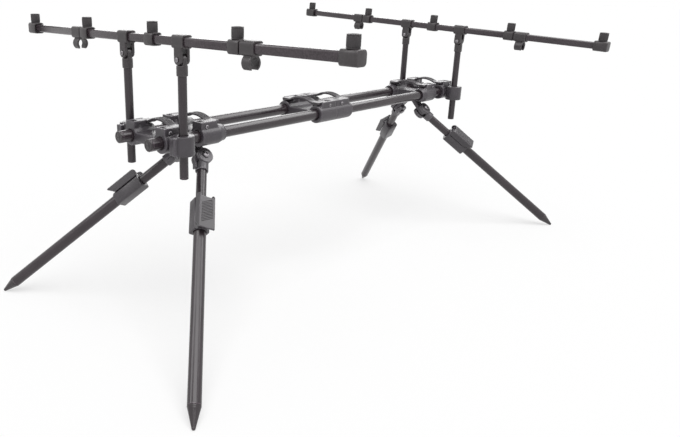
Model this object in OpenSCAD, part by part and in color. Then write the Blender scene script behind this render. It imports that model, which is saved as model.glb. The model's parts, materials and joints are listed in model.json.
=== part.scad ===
// Rod pod: twin main tubes on four folding telescopic legs, with a buzz bar on two uprights at each end.
// +X runs along the main tubes from front to rear, +Y is the left side, and the ground is at Z = 0.
// Each piece is drawn where it stands in the assembled pod, in millimetres.

/* [Main tubes] */
// Outside diameter of a main tube
tube_od = 20; // [18:0.5:23]
// Wall of a main tube
tube_wall = 1.5; // [1:0.1:2.5]
// Distance between the centres of the two main tubes
tube_pitch = 80; // [76:1:90]
// Height of the tube centres above the ground
tube_height = 320; // [290:5:360]
// Length of main tube outside each bar's plane
tube_overhang = 41; // [36:1:60]
// Thickness of an end plug's flange
plug_flange = 4; // [2:0.5:8]
// Depth of an end plug's spigot
plug_depth = 18; // [8:1:30]

/* [Buzz bars] */
// Distance between the planes of the two bars
bar_apart = 828; // [780:2:900]
// Distance between neighbouring sockets
socket_pitch = 190; // [170:2:210]
// Side of the bar's square section
bar_side = 13.4; // [12:0.2:15]
// Corner radius of the bar's section
bar_corner = 3; // [1:0.5:5]
// Height of the front bar's centre above the tube centres
front_bar_rise = 155; // [135:1:190]
// Height of the rear bar's centre above the tube centres
rear_bar_rise = 150; // [135:1:190]
// Tilt of the rear bar, left end up
rear_tilt = 3.4; // [-5:0.1:5]
// Length of a collar along its bar
collar_len = 26; // [22:0.5:30]
// Wall of a collar round its bar
collar_wall = 3.3; // [2.5:0.1:5]
// Thickness of the closed end of an end collar
cap_end = 3; // [2:0.5:6]
// Outside diameter of a socket
socket_od = 17; // [14:0.5:20]
// Height of a socket above its collar
socket_rise = 16.5; // [12:0.5:22]
// Bore of the thread in a socket
thread_d = 9.52; // [8:0.02:11]
// Depth of the thread in a socket
thread_depth = 14; // [8:0.5:18]

/* [Uprights] */
// Outside diameter of an upright
upright_od = 14; // [12:0.5:16]
// Wall of an upright
upright_wall = 1.5; // [1:0.1:2.5]
// Distance between the two uprights of a bar
upright_pitch = 142; // [138:1:150]
// Length of an upright from its swivel pin to its lower end
upright_len = 184; // [160:1:220]
// Outside diameter of an upright's head
head_od = 17.5; // [16:0.5:20]
// Length of the round part of an upright's head
head_len = 16; // [14:0.5:24]
// Height of the bar's centre above the swivel pin
swivel_drop = 26; // [24:0.5:32]
// Thickness of an upright head's tongue
tongue_thick = 8; // [6:0.5:10]
// Thickness of each ear of a swivel collar
ear_thick = 5; // [4:0.5:7]
// Radius of the round ends of the ears and the tongue
ear_round = 8; // [6.5:0.5:9]
// Diameter of a swivel pin
swivel_pin_d = 5; // [4:0.5:6]

/* [Upright clips] */
// Gap between a clip's collar and the socket collar beside it
clip_apart = 0; // [0:0.5:20]
// Wall of a clip's ring
clip_wall = 3.8; // [2.5:0.1:5]
// Length of a clip's ring along the bar
clip_len = 16; // [10:0.5:22]
// Width of a clip's mouth
clip_mouth = 11.5; // [9:0.5:13]

/* [Brackets] */
// Wall of a bracket's sleeve round a main tube
sleeve_wall = 7; // [6:0.5:8]
// Top of the web between the sleeves, above the tube centres
web_up = 7; // [4:0.5:9]
// Bottom of the web between the sleeves, below the tube centres
web_down = 9; // [6:0.5:12]
// Length of a crosshead outside its bar's plane
crosshead_out = 22; // [20:0.5:28]
// Length of a crosshead inside its bar's plane
crosshead_in = 20; // [18:0.5:26]
// Wall of a barrel round its upright
barrel_wall = 6; // [5:0.5:10]
// Distance from an upright to the end of its barrel's clamping lug
barrel_lug = 23; // [20:0.5:26]
// Width of that lug
barrel_lug_w = 13; // [10:0.5:16]
// Top of a barrel above the tube centres
barrel_up = 15; // [10:0.5:20]
// Bottom of a barrel below the tube centres
barrel_down = 17; // [12:0.5:22]
// Width of the slit in a barrel or a leg clamp
slit_w = 2; // [1:0.2:3]
// Outer end of a leg bracket, inside its bar's plane
bracket_start = 53; // [50:1:60]
// Length of a leg bracket's full sleeves
bracket_len = 40; // [36:1:48]
// Length of the tapered collars on a leg bracket
taper_len = 13; // [8:0.5:18]
// Wall at the thin end of the tapered collars
taper_wall = 3.5; // [2.5:0.5:5]
// Length of the middle bracket
middle_len = 99; // [92:1:120]
// Place of the middle bracket along the tubes
middle_x = -14; // [-60:1:60]
// Depth of the groove round the middle bracket
groove_depth = 1; // [0.5:0.1:2]

/* [Cam levers] */
// Reach of a cam from its pin towards the main tube
cam_reach = 5.7; // [5.2:0.1:6.5]
// Diameter of a lever pin
lever_pin_d = 5; // [4:0.5:6]
// Width of a lever's arm
arm_w = 13; // [10:0.5:15]
// Thickness of a lever's arm
arm_thick = 5.3; // [4:0.1:7]
// Distance from the lever pin to the near edge of the arched grip
arch_near = 15; // [13:0.5:18]
// Width of the arched grip
arch_wide = 16; // [12:0.5:18]
// Rise of the arched grip above its arms
arch_rise = 7; // [4:0.5:10]
// Half span of the arched part of the grip
arch_half = 28; // [24:0.5:31]
// Thickness of the arched grip
arch_thick = 3.8; // [3:0.1:5]
// Thickness of each cheek beside a lever's arm
cheek_thick = 5; // [4:0.5:6]
// Distance from the lever pin to the inner end of its cheeks
cheek_reach = 21; // [19:0.5:23]
// Slant of that end
cheek_slant = 6; // [1:0.5:6]
// Distance from a lever pin to the outer end of a leg bracket or a crosshead
pin_inset = 11.5; // [10.5:0.5:13]

/* [Legs] */
// Distance of a leg's hinge inside its bar's plane
hinge_in = 70; // [66:1:76]
// Distance of a leg's hinge from the middle of the pod
hinge_y = 32.5; // [31:0.5:36]
// Drop of a leg's hinge below the tube centres
hinge_drop = 41; // [40:0.5:46]
// Distance of the feet outside the bars' planes
foot_ahead = 158; // [120:1:190]
// Distance of the front feet from the middle
front_foot_y = 278; // [240:1:320]
// Distance of the rear feet from the middle
rear_foot_y = 282; // [240:1:320]
// Outside diameter of a leg's upper tube
leg_upper_od = 17; // [15:0.5:18]
// Wall of a leg's upper tube
leg_upper_wall = 1.3; // [1:0.1:2]
// Wall of a leg's lower tube
leg_lower_wall = 1.4; // [1:0.1:2]
// Distance from the hinge to the lower end of the upper tube
leg_upper_end = 270; // [240:2:290]
// Length of the spike on a foot
spike_len = 29; // [20:1:40]
// Radius of the blunt end of a spike
spike_end = 3; // [2:0.5:5]
// Depth of a spike's spigot in the lower tube
spike_depth = 15; // [8:1:25]

/* [Leg hinges] */
// Radius of the two discs of a leg's head
disc_r = 14; // [13:0.5:15]
// Distance of each disc's outer face from the middle of its leg
disc_out = 13; // [12:0.5:14]
// Radius of a leg head's neck
neck_r = 11; // [10:0.5:12]
// Length of a leg head's neck from the hinge
neck_len = 27; // [24:0.5:30]
// Depth of the upper tube in the neck
neck_depth = 12; // [8:0.5:14]
// Thickness of the bracket's lug between those discs
lug_thick = 9; // [7:0.5:10]
// Radius of the round end of that lug
lug_r = 11; // [10:0.5:11.5]
// Half width of the lug where it rises to its bracket
lug_half = 10; // [8:0.5:10.5]
// Diameter of a leg's pivot bolt
bolt_d = 6; // [5:0.5:8]
// Radius of a pivot bolt's head
bolt_head_r = 6; // [5:0.5:8]
// Height of a pivot bolt's head
bolt_head_h = 3.5; // [2:0.5:6]
// Thickness of the arm that stops a leg when it is spread
stop_thick = 4; // [3:0.5:6]
// Length of that arm past the discs
stop_len = 11; // [8:0.5:13]

/* [Leg clamps] */
// Distance from the hinge to the upper end of a leg clamp
clamp_start = 84; // [82:0.5:100]
// Length of a leg clamp
clamp_len = 58; // [54:0.5:70]
// Wall of a leg clamp round the lower tube
clamp_wall = 3.5; // [3:0.1:5]
// Length of a leg clamp above the end of the lower tube
clamp_lip = 10; // [8:0.5:16]
// Distance from the upper end of a leg clamp to its lever's pin
clamp_pin_inset = 4.5; // [4.5:0.5:8]
// Height of that pin above the clamp's outside
clamp_pin_rise = 2.5; // [2.4:0.1:3.5]
// Diameter of the trunnions of a clamp lever
trunnion_d = 4; // [3:0.5:4]
// Room between a leg clamp's cheeks
cheek_room = 14; // [10:0.5:15]
// Thickness of each of those cheeks
clamp_cheek = 4; // [3:0.5:5]
// Radius of the round top of such a cheek
clamp_cheek_round = 3.8; // [3:0.1:4]
// Thickness of a clamp lever's plate
clamp_lever_thick = 3; // [2:0.1:4]
// Thickness of a clamp lever's side walls
clamp_lever_wall = 2.5; // [2.2:0.1:4]
// Length of those walls from the pin
clamp_lever_len = 42; // [36:1:46]
// Length of a clamp lever's tail past its side walls
tail_len = 15; // [8:0.5:18]

/* [Hidden] */
$fn = 48;
// Radial clearance of a sliding or turning fit
run_fit = 0.08;
// Radial clearance of a pushed-in or slid-on piece
push_fit = 0.05;
// Gap between faces that move past each other
face_gap = 0.4;
// Gap between a cam and the tube under it
cam_gap = 0.3;
// Room that a cutting shape has past a face
over = 1;
// Room round the right upright, which takes up the swing of a tilting bar
swing_room = 1;
// Play of an upright in its clip
clip_fit = 0.3;
// Gap between a lever's arm and the sleeve under it
arm_clear = 1.2;
// Height of a cheek above the lever's arm
cheek_lip = 0.5;
// Step from a lever's arm down to its arched grip
grip_step = 0.3;
// Overhang of a pin's round head
pin_head_lip = 1.2;
// Thickness of a pin's round head
pin_head_h = 1.5;

tube_r = tube_od / 2;
sleeve_r = tube_r + sleeve_wall;
tube_y = tube_pitch / 2;
bar_x = bar_apart / 2;
tube_end = bar_x + tube_overhang;
collar_side = bar_side + 2 * collar_wall;
clip_y = socket_pitch + collar_len + clip_apart;
bar_half = 2 * socket_pitch + collar_len / 2 - cap_end;
upright_y = upright_pitch / 2;
upright_r = upright_od / 2;
ear_out = tongue_thick / 2 + face_gap + ear_thick;
barrel_r = upright_r + barrel_wall;
pin_rise = tube_r + cam_reach + cam_gap;
arm_low = sleeve_r + arm_clear - pin_rise;
arm_top = arm_low + arm_thick;
arch_far = arch_near + arch_wide;
cheek_top = pin_rise + arm_top + cheek_lip;
arch_low = arm_top - grip_step - arch_thick;
arch_turn = norm([arch_near, arch_low]);
arch_room = sqrt(pow(arch_turn, 2) - pow(cheek_top - pin_rise, 2)) - face_gap;
cheek_out = arm_w / 2 + face_gap + cheek_thick;
pocket_half = arm_w / 2 + face_gap;
lever_back = arm_top + face_gap;
leg_lower_r = leg_upper_od / 2 + run_fit + leg_lower_wall;
clamp_r = leg_lower_r + push_fit + clamp_wall;
slot_half = lug_thick / 2 + face_gap;
bolt_face = disc_out + face_gap;
lever_pin_u = clamp_r + clamp_pin_rise;
lever_w0 = clamp_start + clamp_pin_inset;
hinge_x = bar_x - hinge_in;
hinge_z = tube_height - hinge_drop;

FRONT = -1;
REAR = 1;
LEFT = 1;
RIGHT = -1;
SIDES = [LEFT, RIGHT];

function bar_rise(end) = end == FRONT ? front_bar_rise : rear_bar_rise;
function bar_tilt(end) = end == FRONT ? 0 : rear_tilt;
function foot_y(end) = end == FRONT ? front_foot_y : rear_foot_y;
// Place of a swivel along its own bar, so that its pin stays over the upright's barrel
function swivel_y(end, side) = (side * upright_y - swivel_drop * sin(bar_tilt(end))) / cos(bar_tilt(end));
// Height of a swivel pin above the tube centres
function swivel_z(end, side) =
    bar_rise(end) + swivel_y(end, side) * sin(bar_tilt(end)) - swivel_drop * cos(bar_tilt(end));
// A leg's run from its hinge to the middle of its blunt end: along the tubes, outwards and down
function leg_run(end) = [hinge_in + foot_ahead, foot_y(end) - hinge_y, hinge_z - spike_end];
function leg_len(end) = norm(leg_run(end));
// Lean of the hinge axis out of level, and splay of the leg along the tubes
function hinge_lean(end) = atan2(leg_run(end)[1], leg_run(end)[2]);
function leg_splay(end) = asin(leg_run(end)[0] / leg_len(end));
function lower_end(end) = leg_len(end) - spike_len;

// Frames
module at_tubes() {
    translate([0, 0, tube_height]) children();
}

// Children drawn for the front end are mirrored for the rear end
module at_end(end) {
    mirror([end == REAR ? 1 : 0, 0, 0]) children();
}

// Children drawn for the right side are mirrored for the left side
module at_side(side) {
    mirror([0, side == LEFT ? 1 : 0, 0]) children();
}

// The middle of a bar, with the bar along Y and its tilt
module at_bar(end) {
    at_tubes() translate([end * bar_x, 0, bar_rise(end)]) rotate([bar_tilt(end), 0, 0]) children();
}

// A leg's hinge: X is the hinge axis pointing outwards, Z lies in the ear's plane pointing down
module at_hinge(end, side) {
    at_end(end) at_side(side)
        translate([-hinge_x, -hinge_y, hinge_z])
            rotate([180 - hinge_lean(end), 0, 0]) rotate([0, 0, 90]) children();
}

// A spread leg: Z runs from its hinge to its foot, X is the hinge axis
module at_leg(end, side) {
    at_hinge(end, side) rotate([-leg_splay(end), 0, 0]) children();
}

// Plain shapes
module rod_x(r, x0, x1) {
    translate([x0, 0, 0]) rotate([0, 90, 0]) cylinder(r = r, h = x1 - x0);
}

module rod_y(r, y0, y1) {
    translate([0, y1, 0]) rotate([90, 0, 0]) cylinder(r = r, h = y1 - y0);
}

module rod_z(r, z0, z1) {
    translate([0, 0, z0]) cylinder(r = r, h = z1 - z0);
}

module pipe_z(r, wall, z0, z1) {
    difference() {
        rod_z(r, z0, z1);
        rod_z(r - wall, z0 - over, z1 + over);
    }
}

module block(x0, x1, y0, y1, z0, z1) {
    translate([x0, y0, z0]) cube([x1 - x0, y1 - y0, z1 - z0]);
}

// A square with round corners
module round_square(side, corner) {
    square([side, side - 2 * corner], center = true);
    square([side - 2 * corner, side], center = true);
    for (i = [-1, 1], j = [-1, 1])
        translate([i * (side / 2 - corner), j * (side / 2 - corner)]) circle(r = corner);
}

// A round-cornered square bar along Y
module square_bar(side, corner, y0, y1) {
    translate([0, y1, 0]) rotate([90, 0, 0]) linear_extrude(y1 - y0) round_square(side, corner);
}

// A flat outline in X and Z, made thick along Y
module plate_y(y0, y1) {
    translate([0, y1, 0]) rotate([90, 0, 0]) linear_extrude(y1 - y0) children();
}

// Main tubes
module main_tube(side) {
    color("dimgray") at_tubes() translate([0, side * tube_y, 0]) difference() {
        rod_x(tube_r, -tube_end, tube_end);
        rod_x(tube_r - tube_wall, -tube_end - over, tube_end + over);
    }
}

module tube_end_plugs() {
    color("black") at_tubes() for (end = [FRONT, REAR], side = SIDES)
        translate([0, side * tube_y, 0]) at_end(end) {
            rod_x(tube_r, -tube_end - plug_flange, -tube_end);
            rod_x(tube_r - tube_wall - push_fit, -tube_end - over, -tube_end + plug_depth);
        }
}

// Cam levers: the pin is at the origin and the grip lies towards +X
module arch_outline() {
    top = arm_top - grip_step;
    outer_r = (arch_half * arch_half + arch_rise * arch_rise) / (2 * arch_rise);
    intersection() {
        translate([-tube_y, top - arch_thick]) square([2 * tube_y, arch_rise + arch_thick + over]);
        difference() {
            translate([0, top + arch_rise - outer_r]) circle(r = outer_r, $fn = 180);
            translate([0, top + arch_rise - outer_r]) circle(r = outer_r - arch_thick, $fn = 180);
        }
    }
    for (side = SIDES) mirror([side == LEFT ? 0 : 1, 0])
        translate([arch_half - over, top - arch_thick]) square([tube_y - arch_half + over, arch_thick]);
}

module lever_shape() {
    difference() {
        union() {
            for (side = SIDES) translate([0, side * tube_y, 0]) {
                translate([0, 0, -cam_gap]) rod_y(cam_reach - cam_gap, -arm_w / 2, arm_w / 2);
                block(0, arch_far, -arm_w / 2, arm_w / 2, arm_low, arm_top);
                block(0, lever_pin_d, -arm_w / 2, arm_w / 2, 0, arm_top);
            }
            translate([arch_near, 0, 0]) rotate([90, 0, 90]) linear_extrude(arch_wide) arch_outline();
        }
        rod_y(lever_pin_d / 2 + run_fit, -tube_pitch, tube_pitch);
    }
}

module lever_at(x, towards) {
    color("darkslategray") at_tubes() translate([x, 0, pin_rise])
        mirror([towards < 0 ? 1 : 0, 0, 0]) lever_shape();
}

// The two pins of a lever, each with a round head on its outer end
module lever_pins_at(x) {
    color("silver") at_tubes() translate([x, 0, pin_rise]) for (side = SIDES)
        at_side(side) translate([0, -tube_y, 0]) {
            rod_y(lever_pin_d / 2, -cheek_out - over / 2, cheek_out);
            rod_y(lever_pin_d / 2 + pin_head_lip, -cheek_out - pin_head_h, -cheek_out);
        }
}

// Brackets: two sleeves with a web, and a pair of cheeks on each sleeve for a lever's pins
module cheeks_at(x, towards, back) {
    low = cheek_reach + cheek_slant;
    for (side = SIDES) translate([x, side * tube_y, 0]) mirror([towards < 0 ? 1 : 0, 0, 0])
        plate_y(-cheek_out, cheek_out)
            polygon([[-back, 0], [-back, cheek_top], [cheek_reach, cheek_top], [low, tube_r], [low, 0]]);
}

module sleeves(x0, x1) {
    for (side = SIDES) translate([0, side * tube_y, 0]) rod_x(sleeve_r, x0, x1);
    block(x0, x1, -tube_y, tube_y, -web_down, web_up);
}

module tube_bores() {
    for (side = SIDES) translate([0, side * tube_y, 0]) rod_x(tube_r + run_fit, -tube_end, tube_end);
}

// Room for a lever's cams, its arms and its grip, also as it opens
module lever_room(x, towards) {
    arm_floor = pin_rise + arm_low - arm_clear / 2;
    far = arch_far + over;
    for (side = SIDES) at_side(side) translate([x, -tube_y, 0]) mirror([towards < 0 ? 1 : 0, 0, 0]) {
        block(-lever_back, cam_reach + over, -pocket_half, pocket_half, 0, cheek_top + over);
        block(0, far, -pocket_half, pocket_half, arm_floor, cheek_top + over);
        block(arch_room, far, 0, cheek_out + over, arm_floor, cheek_top + over);
    }
    translate([x, 0, pin_rise]) rod_y(lever_pin_d / 2 + push_fit, -tube_pitch, tube_pitch);
}

module crosshead(end) {
    pin_x = -bar_x - crosshead_out + pin_inset;
    color("dimgray") at_tubes() at_end(end) difference() {
        union() {
            sleeves(-bar_x - crosshead_out, -bar_x + crosshead_in);
            cheeks_at(pin_x, 1, pin_inset);
            for (side = SIDES) at_side(side) {
                translate([-bar_x, -upright_y, 0]) rod_z(barrel_r, -barrel_down, barrel_up);
                block(-bar_x - barrel_r + slit_w, -bar_x + barrel_r - slit_w,
                      -upright_y, -tube_y, -web_down, web_up);
                block(-bar_x - barrel_lug, -bar_x, -upright_y - barrel_lug_w / 2, -upright_y + barrel_lug_w / 2,
                      slit_w - barrel_down, barrel_up - slit_w);
            }
        }
        tube_bores();
        lever_room(pin_x, 1);
        for (side = SIDES) translate([-bar_x, side * upright_y, 0]) {
            room = side == RIGHT ? swing_room : run_fit;
            rod_z(upright_r + room, -barrel_down - over, barrel_up + over);
            block(-barrel_lug - over, 0, -slit_w / 2, slit_w / 2, -barrel_down - over, barrel_up + over);
        }
    }
}

// The lug that carries a leg, with the arm that stops the leg when it is spread
module lug_outline(end) {
    near = neck_r + face_gap;
    far = near + stop_thick;
    tip = disc_r + stop_len;
    root = lug_r - over;
    rise = (hinge_drop - web_down / 2) / cos(hinge_lean(end));
    circle(r = lug_r);
    translate([-lug_half, -rise]) square([2 * lug_half, rise]);
    rotate(-leg_splay(end)) polygon([[0, 0], [far, 0], [far, tip], [near, tip], [near, root], [0, root]]);
}

module leg_lug(end, side) {
    at_hinge(end, side) rotate([90, 0, 90]) linear_extrude(lug_thick, center = true) lug_outline(end);
}

module leg_bracket(end) {
    full_end = -bar_x + bracket_start + bracket_len;
    pin_x = -bar_x + bracket_start + pin_inset;
    color("dimgray") difference() {
        union() {
            at_tubes() at_end(end) {
                sleeves(-bar_x + bracket_start, full_end);
                cheeks_at(pin_x, 1, pin_inset);
                for (side = SIDES) translate([full_end, side * tube_y, 0]) rotate([0, 90, 0])
                    cylinder(r1 = sleeve_r, r2 = tube_r + taper_wall, h = taper_len);
            }
            for (side = SIDES) leg_lug(end, side);
        }
        at_tubes() at_end(end) {
            tube_bores();
            lever_room(pin_x, 1);
        }
        for (side = SIDES) at_hinge(end, side)
            rod_x(bolt_d / 2 + push_fit, -lug_thick, lug_thick);
    }
}

// The pivot bolts of an end's two legs, each with a head outside and a nut inside
module leg_bolts(end) {
    color("silver") for (side = SIDES) at_hinge(end, side) {
        rod_x(bolt_d / 2, -bolt_face - bolt_head_h, bolt_face);
        rod_x(bolt_head_r, bolt_face, bolt_face + bolt_head_h);
        translate([-bolt_face - bolt_head_h, 0, 0]) rotate([0, 90, 0])
            cylinder(r = bolt_head_r, h = bolt_head_h, $fn = 6);
    }
}

// The middle bracket carries two levers, whose pins lie either side of its groove
module middle_bracket() {
    half = middle_len / 2;
    pin_x = half - arch_far;
    color("dimgray") at_tubes() difference() {
        union() {
            sleeves(middle_x - half, middle_x + half);
            for (towards = [-1, 1]) cheeks_at(middle_x + towards * pin_x, towards, pin_x + over);
        }
        tube_bores();
        for (towards = [-1, 1]) lever_room(middle_x + towards * pin_x, towards);
        for (side = SIDES) at_side(side) translate([middle_x, -tube_y, 0]) {
            intersection() {
                difference() {
                    rod_x(sleeve_r + over, -slit_w / 2, slit_w / 2);
                    rod_x(sleeve_r - groove_depth, -slit_w, slit_w);
                }
                block(-slit_w, slit_w, -sleeve_r - over, 0, -sleeve_r - over, tube_r);
            }
            block(-slit_w / 2, slit_w / 2, -cheek_out - over, groove_depth - cheek_out, tube_r, cheek_top + over);
        }
    }
}

module middle_lever(towards) {
    lever_at(middle_x + towards * (middle_len / 2 - arch_far), towards);
}

module middle_bracket_pins() {
    for (towards = [-1, 1]) lever_pins_at(middle_x + towards * (middle_len / 2 - arch_far));
}

// Buzz bars
module bar(end) {
    color("dimgray") at_bar(end) difference() {
        square_bar(bar_side, bar_corner, -bar_half, bar_half);
        square_bar(bar_side - 2 * tube_wall, bar_corner - tube_wall / 2, -bar_half - over, bar_half + over);
    }
}

module collar_outside(y0, y1) {
    square_bar(collar_side, bar_corner + collar_wall / 2, y0, y1);
}

// The space that a collar leaves for its bar
module bar_space(y0, y1) {
    square_bar(bar_side + 2 * push_fit, bar_corner, y0, y1);
}

module socket_collars(end) {
    color("dimgray") at_bar(end) for (i = [-2 : 2]) difference() {
        translate([0, i * socket_pitch, 0]) collar_outside(-collar_len / 2, collar_len / 2);
        bar_space(-bar_half, bar_half);
    }
}

module sockets(end) {
    top = collar_side / 2 + socket_rise;
    color("gray") at_bar(end) for (i = [-2 : 2]) translate([0, i * socket_pitch, 0]) difference() {
        rod_z(socket_od / 2, collar_side / 2, top);
        rod_z(thread_d / 2, top - thread_depth, top + over);
    }
}

// A swivel collar, with two ears below it for an upright's pin
module swivels(end) {
    color("dimgray") at_bar(end) for (side = SIDES) translate([0, swivel_y(end, side), 0]) difference() {
        union() {
            collar_outside(-collar_len / 2, collar_len / 2);
            for (half = [-1, 1]) translate([half * (ear_out - ear_thick / 2), 0, -swivel_drop])
                tongue(ear_thick, swivel_drop);
        }
        bar_space(-collar_len, collar_len);
        translate([0, 0, -swivel_drop]) rod_x(swivel_pin_d / 2 + run_fit, -collar_side, collar_side);
    }
}

// A collar with an open ring below it, which holds an upright that is folded against its bar
module clips(end) {
    inner_r = upright_r + clip_fit;
    ring_z = -collar_side / 2 - inner_r - clip_wall / 2;
    color("dimgray") at_bar(end) for (side = SIDES) translate([0, side * clip_y, 0]) difference() {
        union() {
            collar_outside(-collar_len / 2, collar_len / 2);
            translate([0, 0, ring_z]) rod_y(inner_r + clip_wall, -clip_len / 2, clip_len / 2);
        }
        bar_space(-collar_len, collar_len);
        translate([0, 0, ring_z]) {
            rod_y(inner_r, -clip_len, clip_len);
            block(-clip_mouth / 2, clip_mouth / 2, -clip_len, clip_len, -2 * inner_r, 0);
        }
    }
}

// A flat tongue with a round end at the swivel pin, drawn upwards or downwards from there
module tongue(thick, rise) {
    rotate([90, 0, 90]) linear_extrude(thick, center = true) {
        circle(r = ear_round);
        translate([-ear_round, min(0, rise)]) square([2 * ear_round, abs(rise)]);
    }
}

// An upright tube, its head with the tongue that turns in the swivel's ears, and the pin through both
module upright(end, side) {
    head_top = -ear_round - face_gap;
    head_low = head_top - head_len;
    pin_reach = ear_out + face_gap;
    color("dimgray") at_tubes() translate([end * bar_x, side * upright_y, swivel_z(end, side)]) {
        pipe_z(upright_r, upright_wall, -upright_len, head_top - head_len / 2 - push_fit);
        difference() {
            union() {
                rod_z(head_od / 2, head_low, head_top);
                tongue(tongue_thick, head_top - over);
            }
            rod_z(upright_r + push_fit, head_low - over, head_top - head_len / 2);
            rod_x(swivel_pin_d / 2 + push_fit, -tongue_thick, tongue_thick);
        }
        rod_x(swivel_pin_d / 2, -pin_reach, pin_reach);
        for (half = [-1, 1]) translate([half * (pin_reach + pin_head_h / 2), 0, 0])
            rod_x(swivel_pin_d / 2 + pin_head_lip, -pin_head_h / 2, pin_head_h / 2);
    }
}

// Legs
module leg_head(end, side) {
    color("dimgray") at_leg(end, side) difference() {
        union() {
            rod_x(disc_r, -disc_out, disc_out);
            rod_z(neck_r, 0, neck_len);
        }
        block(-slot_half, slot_half, -disc_r - over, disc_r + over, -disc_r - over, lug_r + over);
        rod_x(bolt_d / 2 + run_fit, -disc_out - over, disc_out + over);
        rod_z(leg_upper_od / 2 + push_fit, neck_len - neck_depth, neck_len + over);
    }
}

module upper_leg(end, side) {
    color("gray") at_leg(end, side)
        pipe_z(leg_upper_od / 2, leg_upper_wall, neck_len - neck_depth, leg_upper_end);
}

module lower_leg(end, side) {
    color("dimgray") at_leg(end, side)
        pipe_z(leg_lower_r, leg_lower_wall, clamp_start + clamp_lip, lower_end(end));
}

module leg_clamp(end, side) {
    color("dimgray") at_leg(end, side) difference() {
        union() {
            rod_z(clamp_r, clamp_start, clamp_start + clamp_len);
            for (half = [-1, 1]) translate([0, half * (cheek_room + clamp_cheek) / 2, lever_w0])
                plate_y(-clamp_cheek / 2, clamp_cheek / 2) {
                    translate([0, -clamp_cheek_round]) square([lever_pin_u, 2 * clamp_cheek_round]);
                    translate([lever_pin_u, 0]) circle(r = clamp_cheek_round);
                }
        }
        rod_z(leg_upper_od / 2 + run_fit, clamp_start - over, clamp_start + clamp_len);
        rod_z(leg_lower_r + push_fit, clamp_start + clamp_lip, clamp_start + clamp_len + over);
        block(0, clamp_r + over, -slit_w / 2, slit_w / 2, clamp_start - over, clamp_start + clamp_len / 2);
        translate([lever_pin_u, 0, lever_w0]) rod_y(trunnion_d / 2 + run_fit, -clamp_r, clamp_r);
    }
}

// A clamp lever is a channel over its clamp, with trunnions at its upper end and a tail past its side walls
module clamp_lever(end, side) {
    room = cheek_room / 2 - face_gap;
    inner = cheek_room / 2 + clamp_cheek + face_gap;
    outer = inner + clamp_lever_wall;
    low = clamp_cheek_round + face_gap;
    top = low + clamp_lever_thick;
    tail_end = clamp_lever_len + tail_len;
    color("darkslategray") at_leg(end, side) translate([lever_pin_u, 0, lever_w0]) {
        for (half = [-1, 1]) translate([0, half * (inner + outer) / 2, 0])
            plate_y(-clamp_lever_wall / 2, clamp_lever_wall / 2) {
                circle(r = top);
                polygon([[-top, 0], [-top, clamp_lever_len], [low, tail_end], [top, tail_end], [top, 0]]);
            }
        block(low, top, -inner - over, inner + over, 0, tail_end);
        block(0, low + over, -room, room, 0, trunnion_d);
        rod_y(trunnion_d / 2, -inner - over, inner + over);
    }
}

module spike(end, side) {
    bottom = leg_len(end);
    top = lower_end(end);
    color("black") at_leg(end, side) {
        translate([0, 0, top]) cylinder(r1 = leg_lower_r, r2 = spike_end, h = spike_len);
        translate([0, 0, bottom]) sphere(r = spike_end);
        rod_z(leg_lower_r - leg_lower_wall - push_fit, top - spike_depth, top + over);
    }
}

main_tube(LEFT);  // left_main_tube
main_tube(RIGHT);  // right_main_tube
tube_end_plugs();
crosshead(FRONT);  // front_crosshead
lever_at(-bar_x - crosshead_out + pin_inset, 1);  // front_crosshead_lever
lever_pins_at(-bar_x - crosshead_out + pin_inset);  // front_crosshead_pins
crosshead(REAR);  // rear_crosshead
lever_at(bar_x + crosshead_out - pin_inset, -1);  // rear_crosshead_lever
lever_pins_at(bar_x + crosshead_out - pin_inset);  // rear_crosshead_pins
leg_bracket(FRONT);  // front_leg_bracket
lever_at(-bar_x + bracket_start + pin_inset, 1);  // front_bracket_lever
lever_pins_at(-bar_x + bracket_start + pin_inset);  // front_bracket_pins
leg_bolts(FRONT);  // front_leg_bolts
leg_bracket(REAR);  // rear_leg_bracket
lever_at(bar_x - bracket_start - pin_inset, -1);  // rear_bracket_lever
lever_pins_at(bar_x - bracket_start - pin_inset);  // rear_bracket_pins
leg_bolts(REAR);  // rear_leg_bolts
middle_bracket();
middle_lever(FRONT);  // middle_front_lever
middle_lever(REAR);  // middle_rear_lever
middle_bracket_pins();
bar(FRONT);  // front_bar
socket_collars(FRONT);  // front_socket_collars
sockets(FRONT);  // front_sockets
swivels(FRONT);  // front_swivels
clips(FRONT);  // front_clips
upright(FRONT, LEFT);  // front_left_upright
upright(FRONT, RIGHT);  // front_right_upright
bar(REAR);  // rear_bar
socket_collars(REAR);  // rear_socket_collars
sockets(REAR);  // rear_sockets
swivels(REAR);  // rear_swivels
clips(REAR);  // rear_clips
upright(REAR, LEFT);  // rear_left_upright
upright(REAR, RIGHT);  // rear_right_upright
leg_head(FRONT, LEFT);  // front_left_leg_head
upper_leg(FRONT, LEFT);  // front_left_upper_leg
lower_leg(FRONT, LEFT);  // front_left_lower_leg
leg_clamp(FRONT, LEFT);  // front_left_leg_clamp
clamp_lever(FRONT, LEFT);  // front_left_clamp_lever
spike(FRONT, LEFT);  // front_left_spike
leg_head(FRONT, RIGHT);  // front_right_leg_head
upper_leg(FRONT, RIGHT);  // front_right_upper_leg
lower_leg(FRONT, RIGHT);  // front_right_lower_leg
leg_clamp(FRONT, RIGHT);  // front_right_leg_clamp
clamp_lever(FRONT, RIGHT);  // front_right_clamp_lever
spike(FRONT, RIGHT);  // front_right_spike
leg_head(REAR, LEFT);  // rear_left_leg_head
upper_leg(REAR, LEFT);  // rear_left_upper_leg
lower_leg(REAR, LEFT);  // rear_left_lower_leg
leg_clamp(REAR, LEFT);  // rear_left_leg_clamp
clamp_lever(REAR, LEFT);  // rear_left_clamp_lever
spike(REAR, LEFT);  // rear_left_spike
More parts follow.
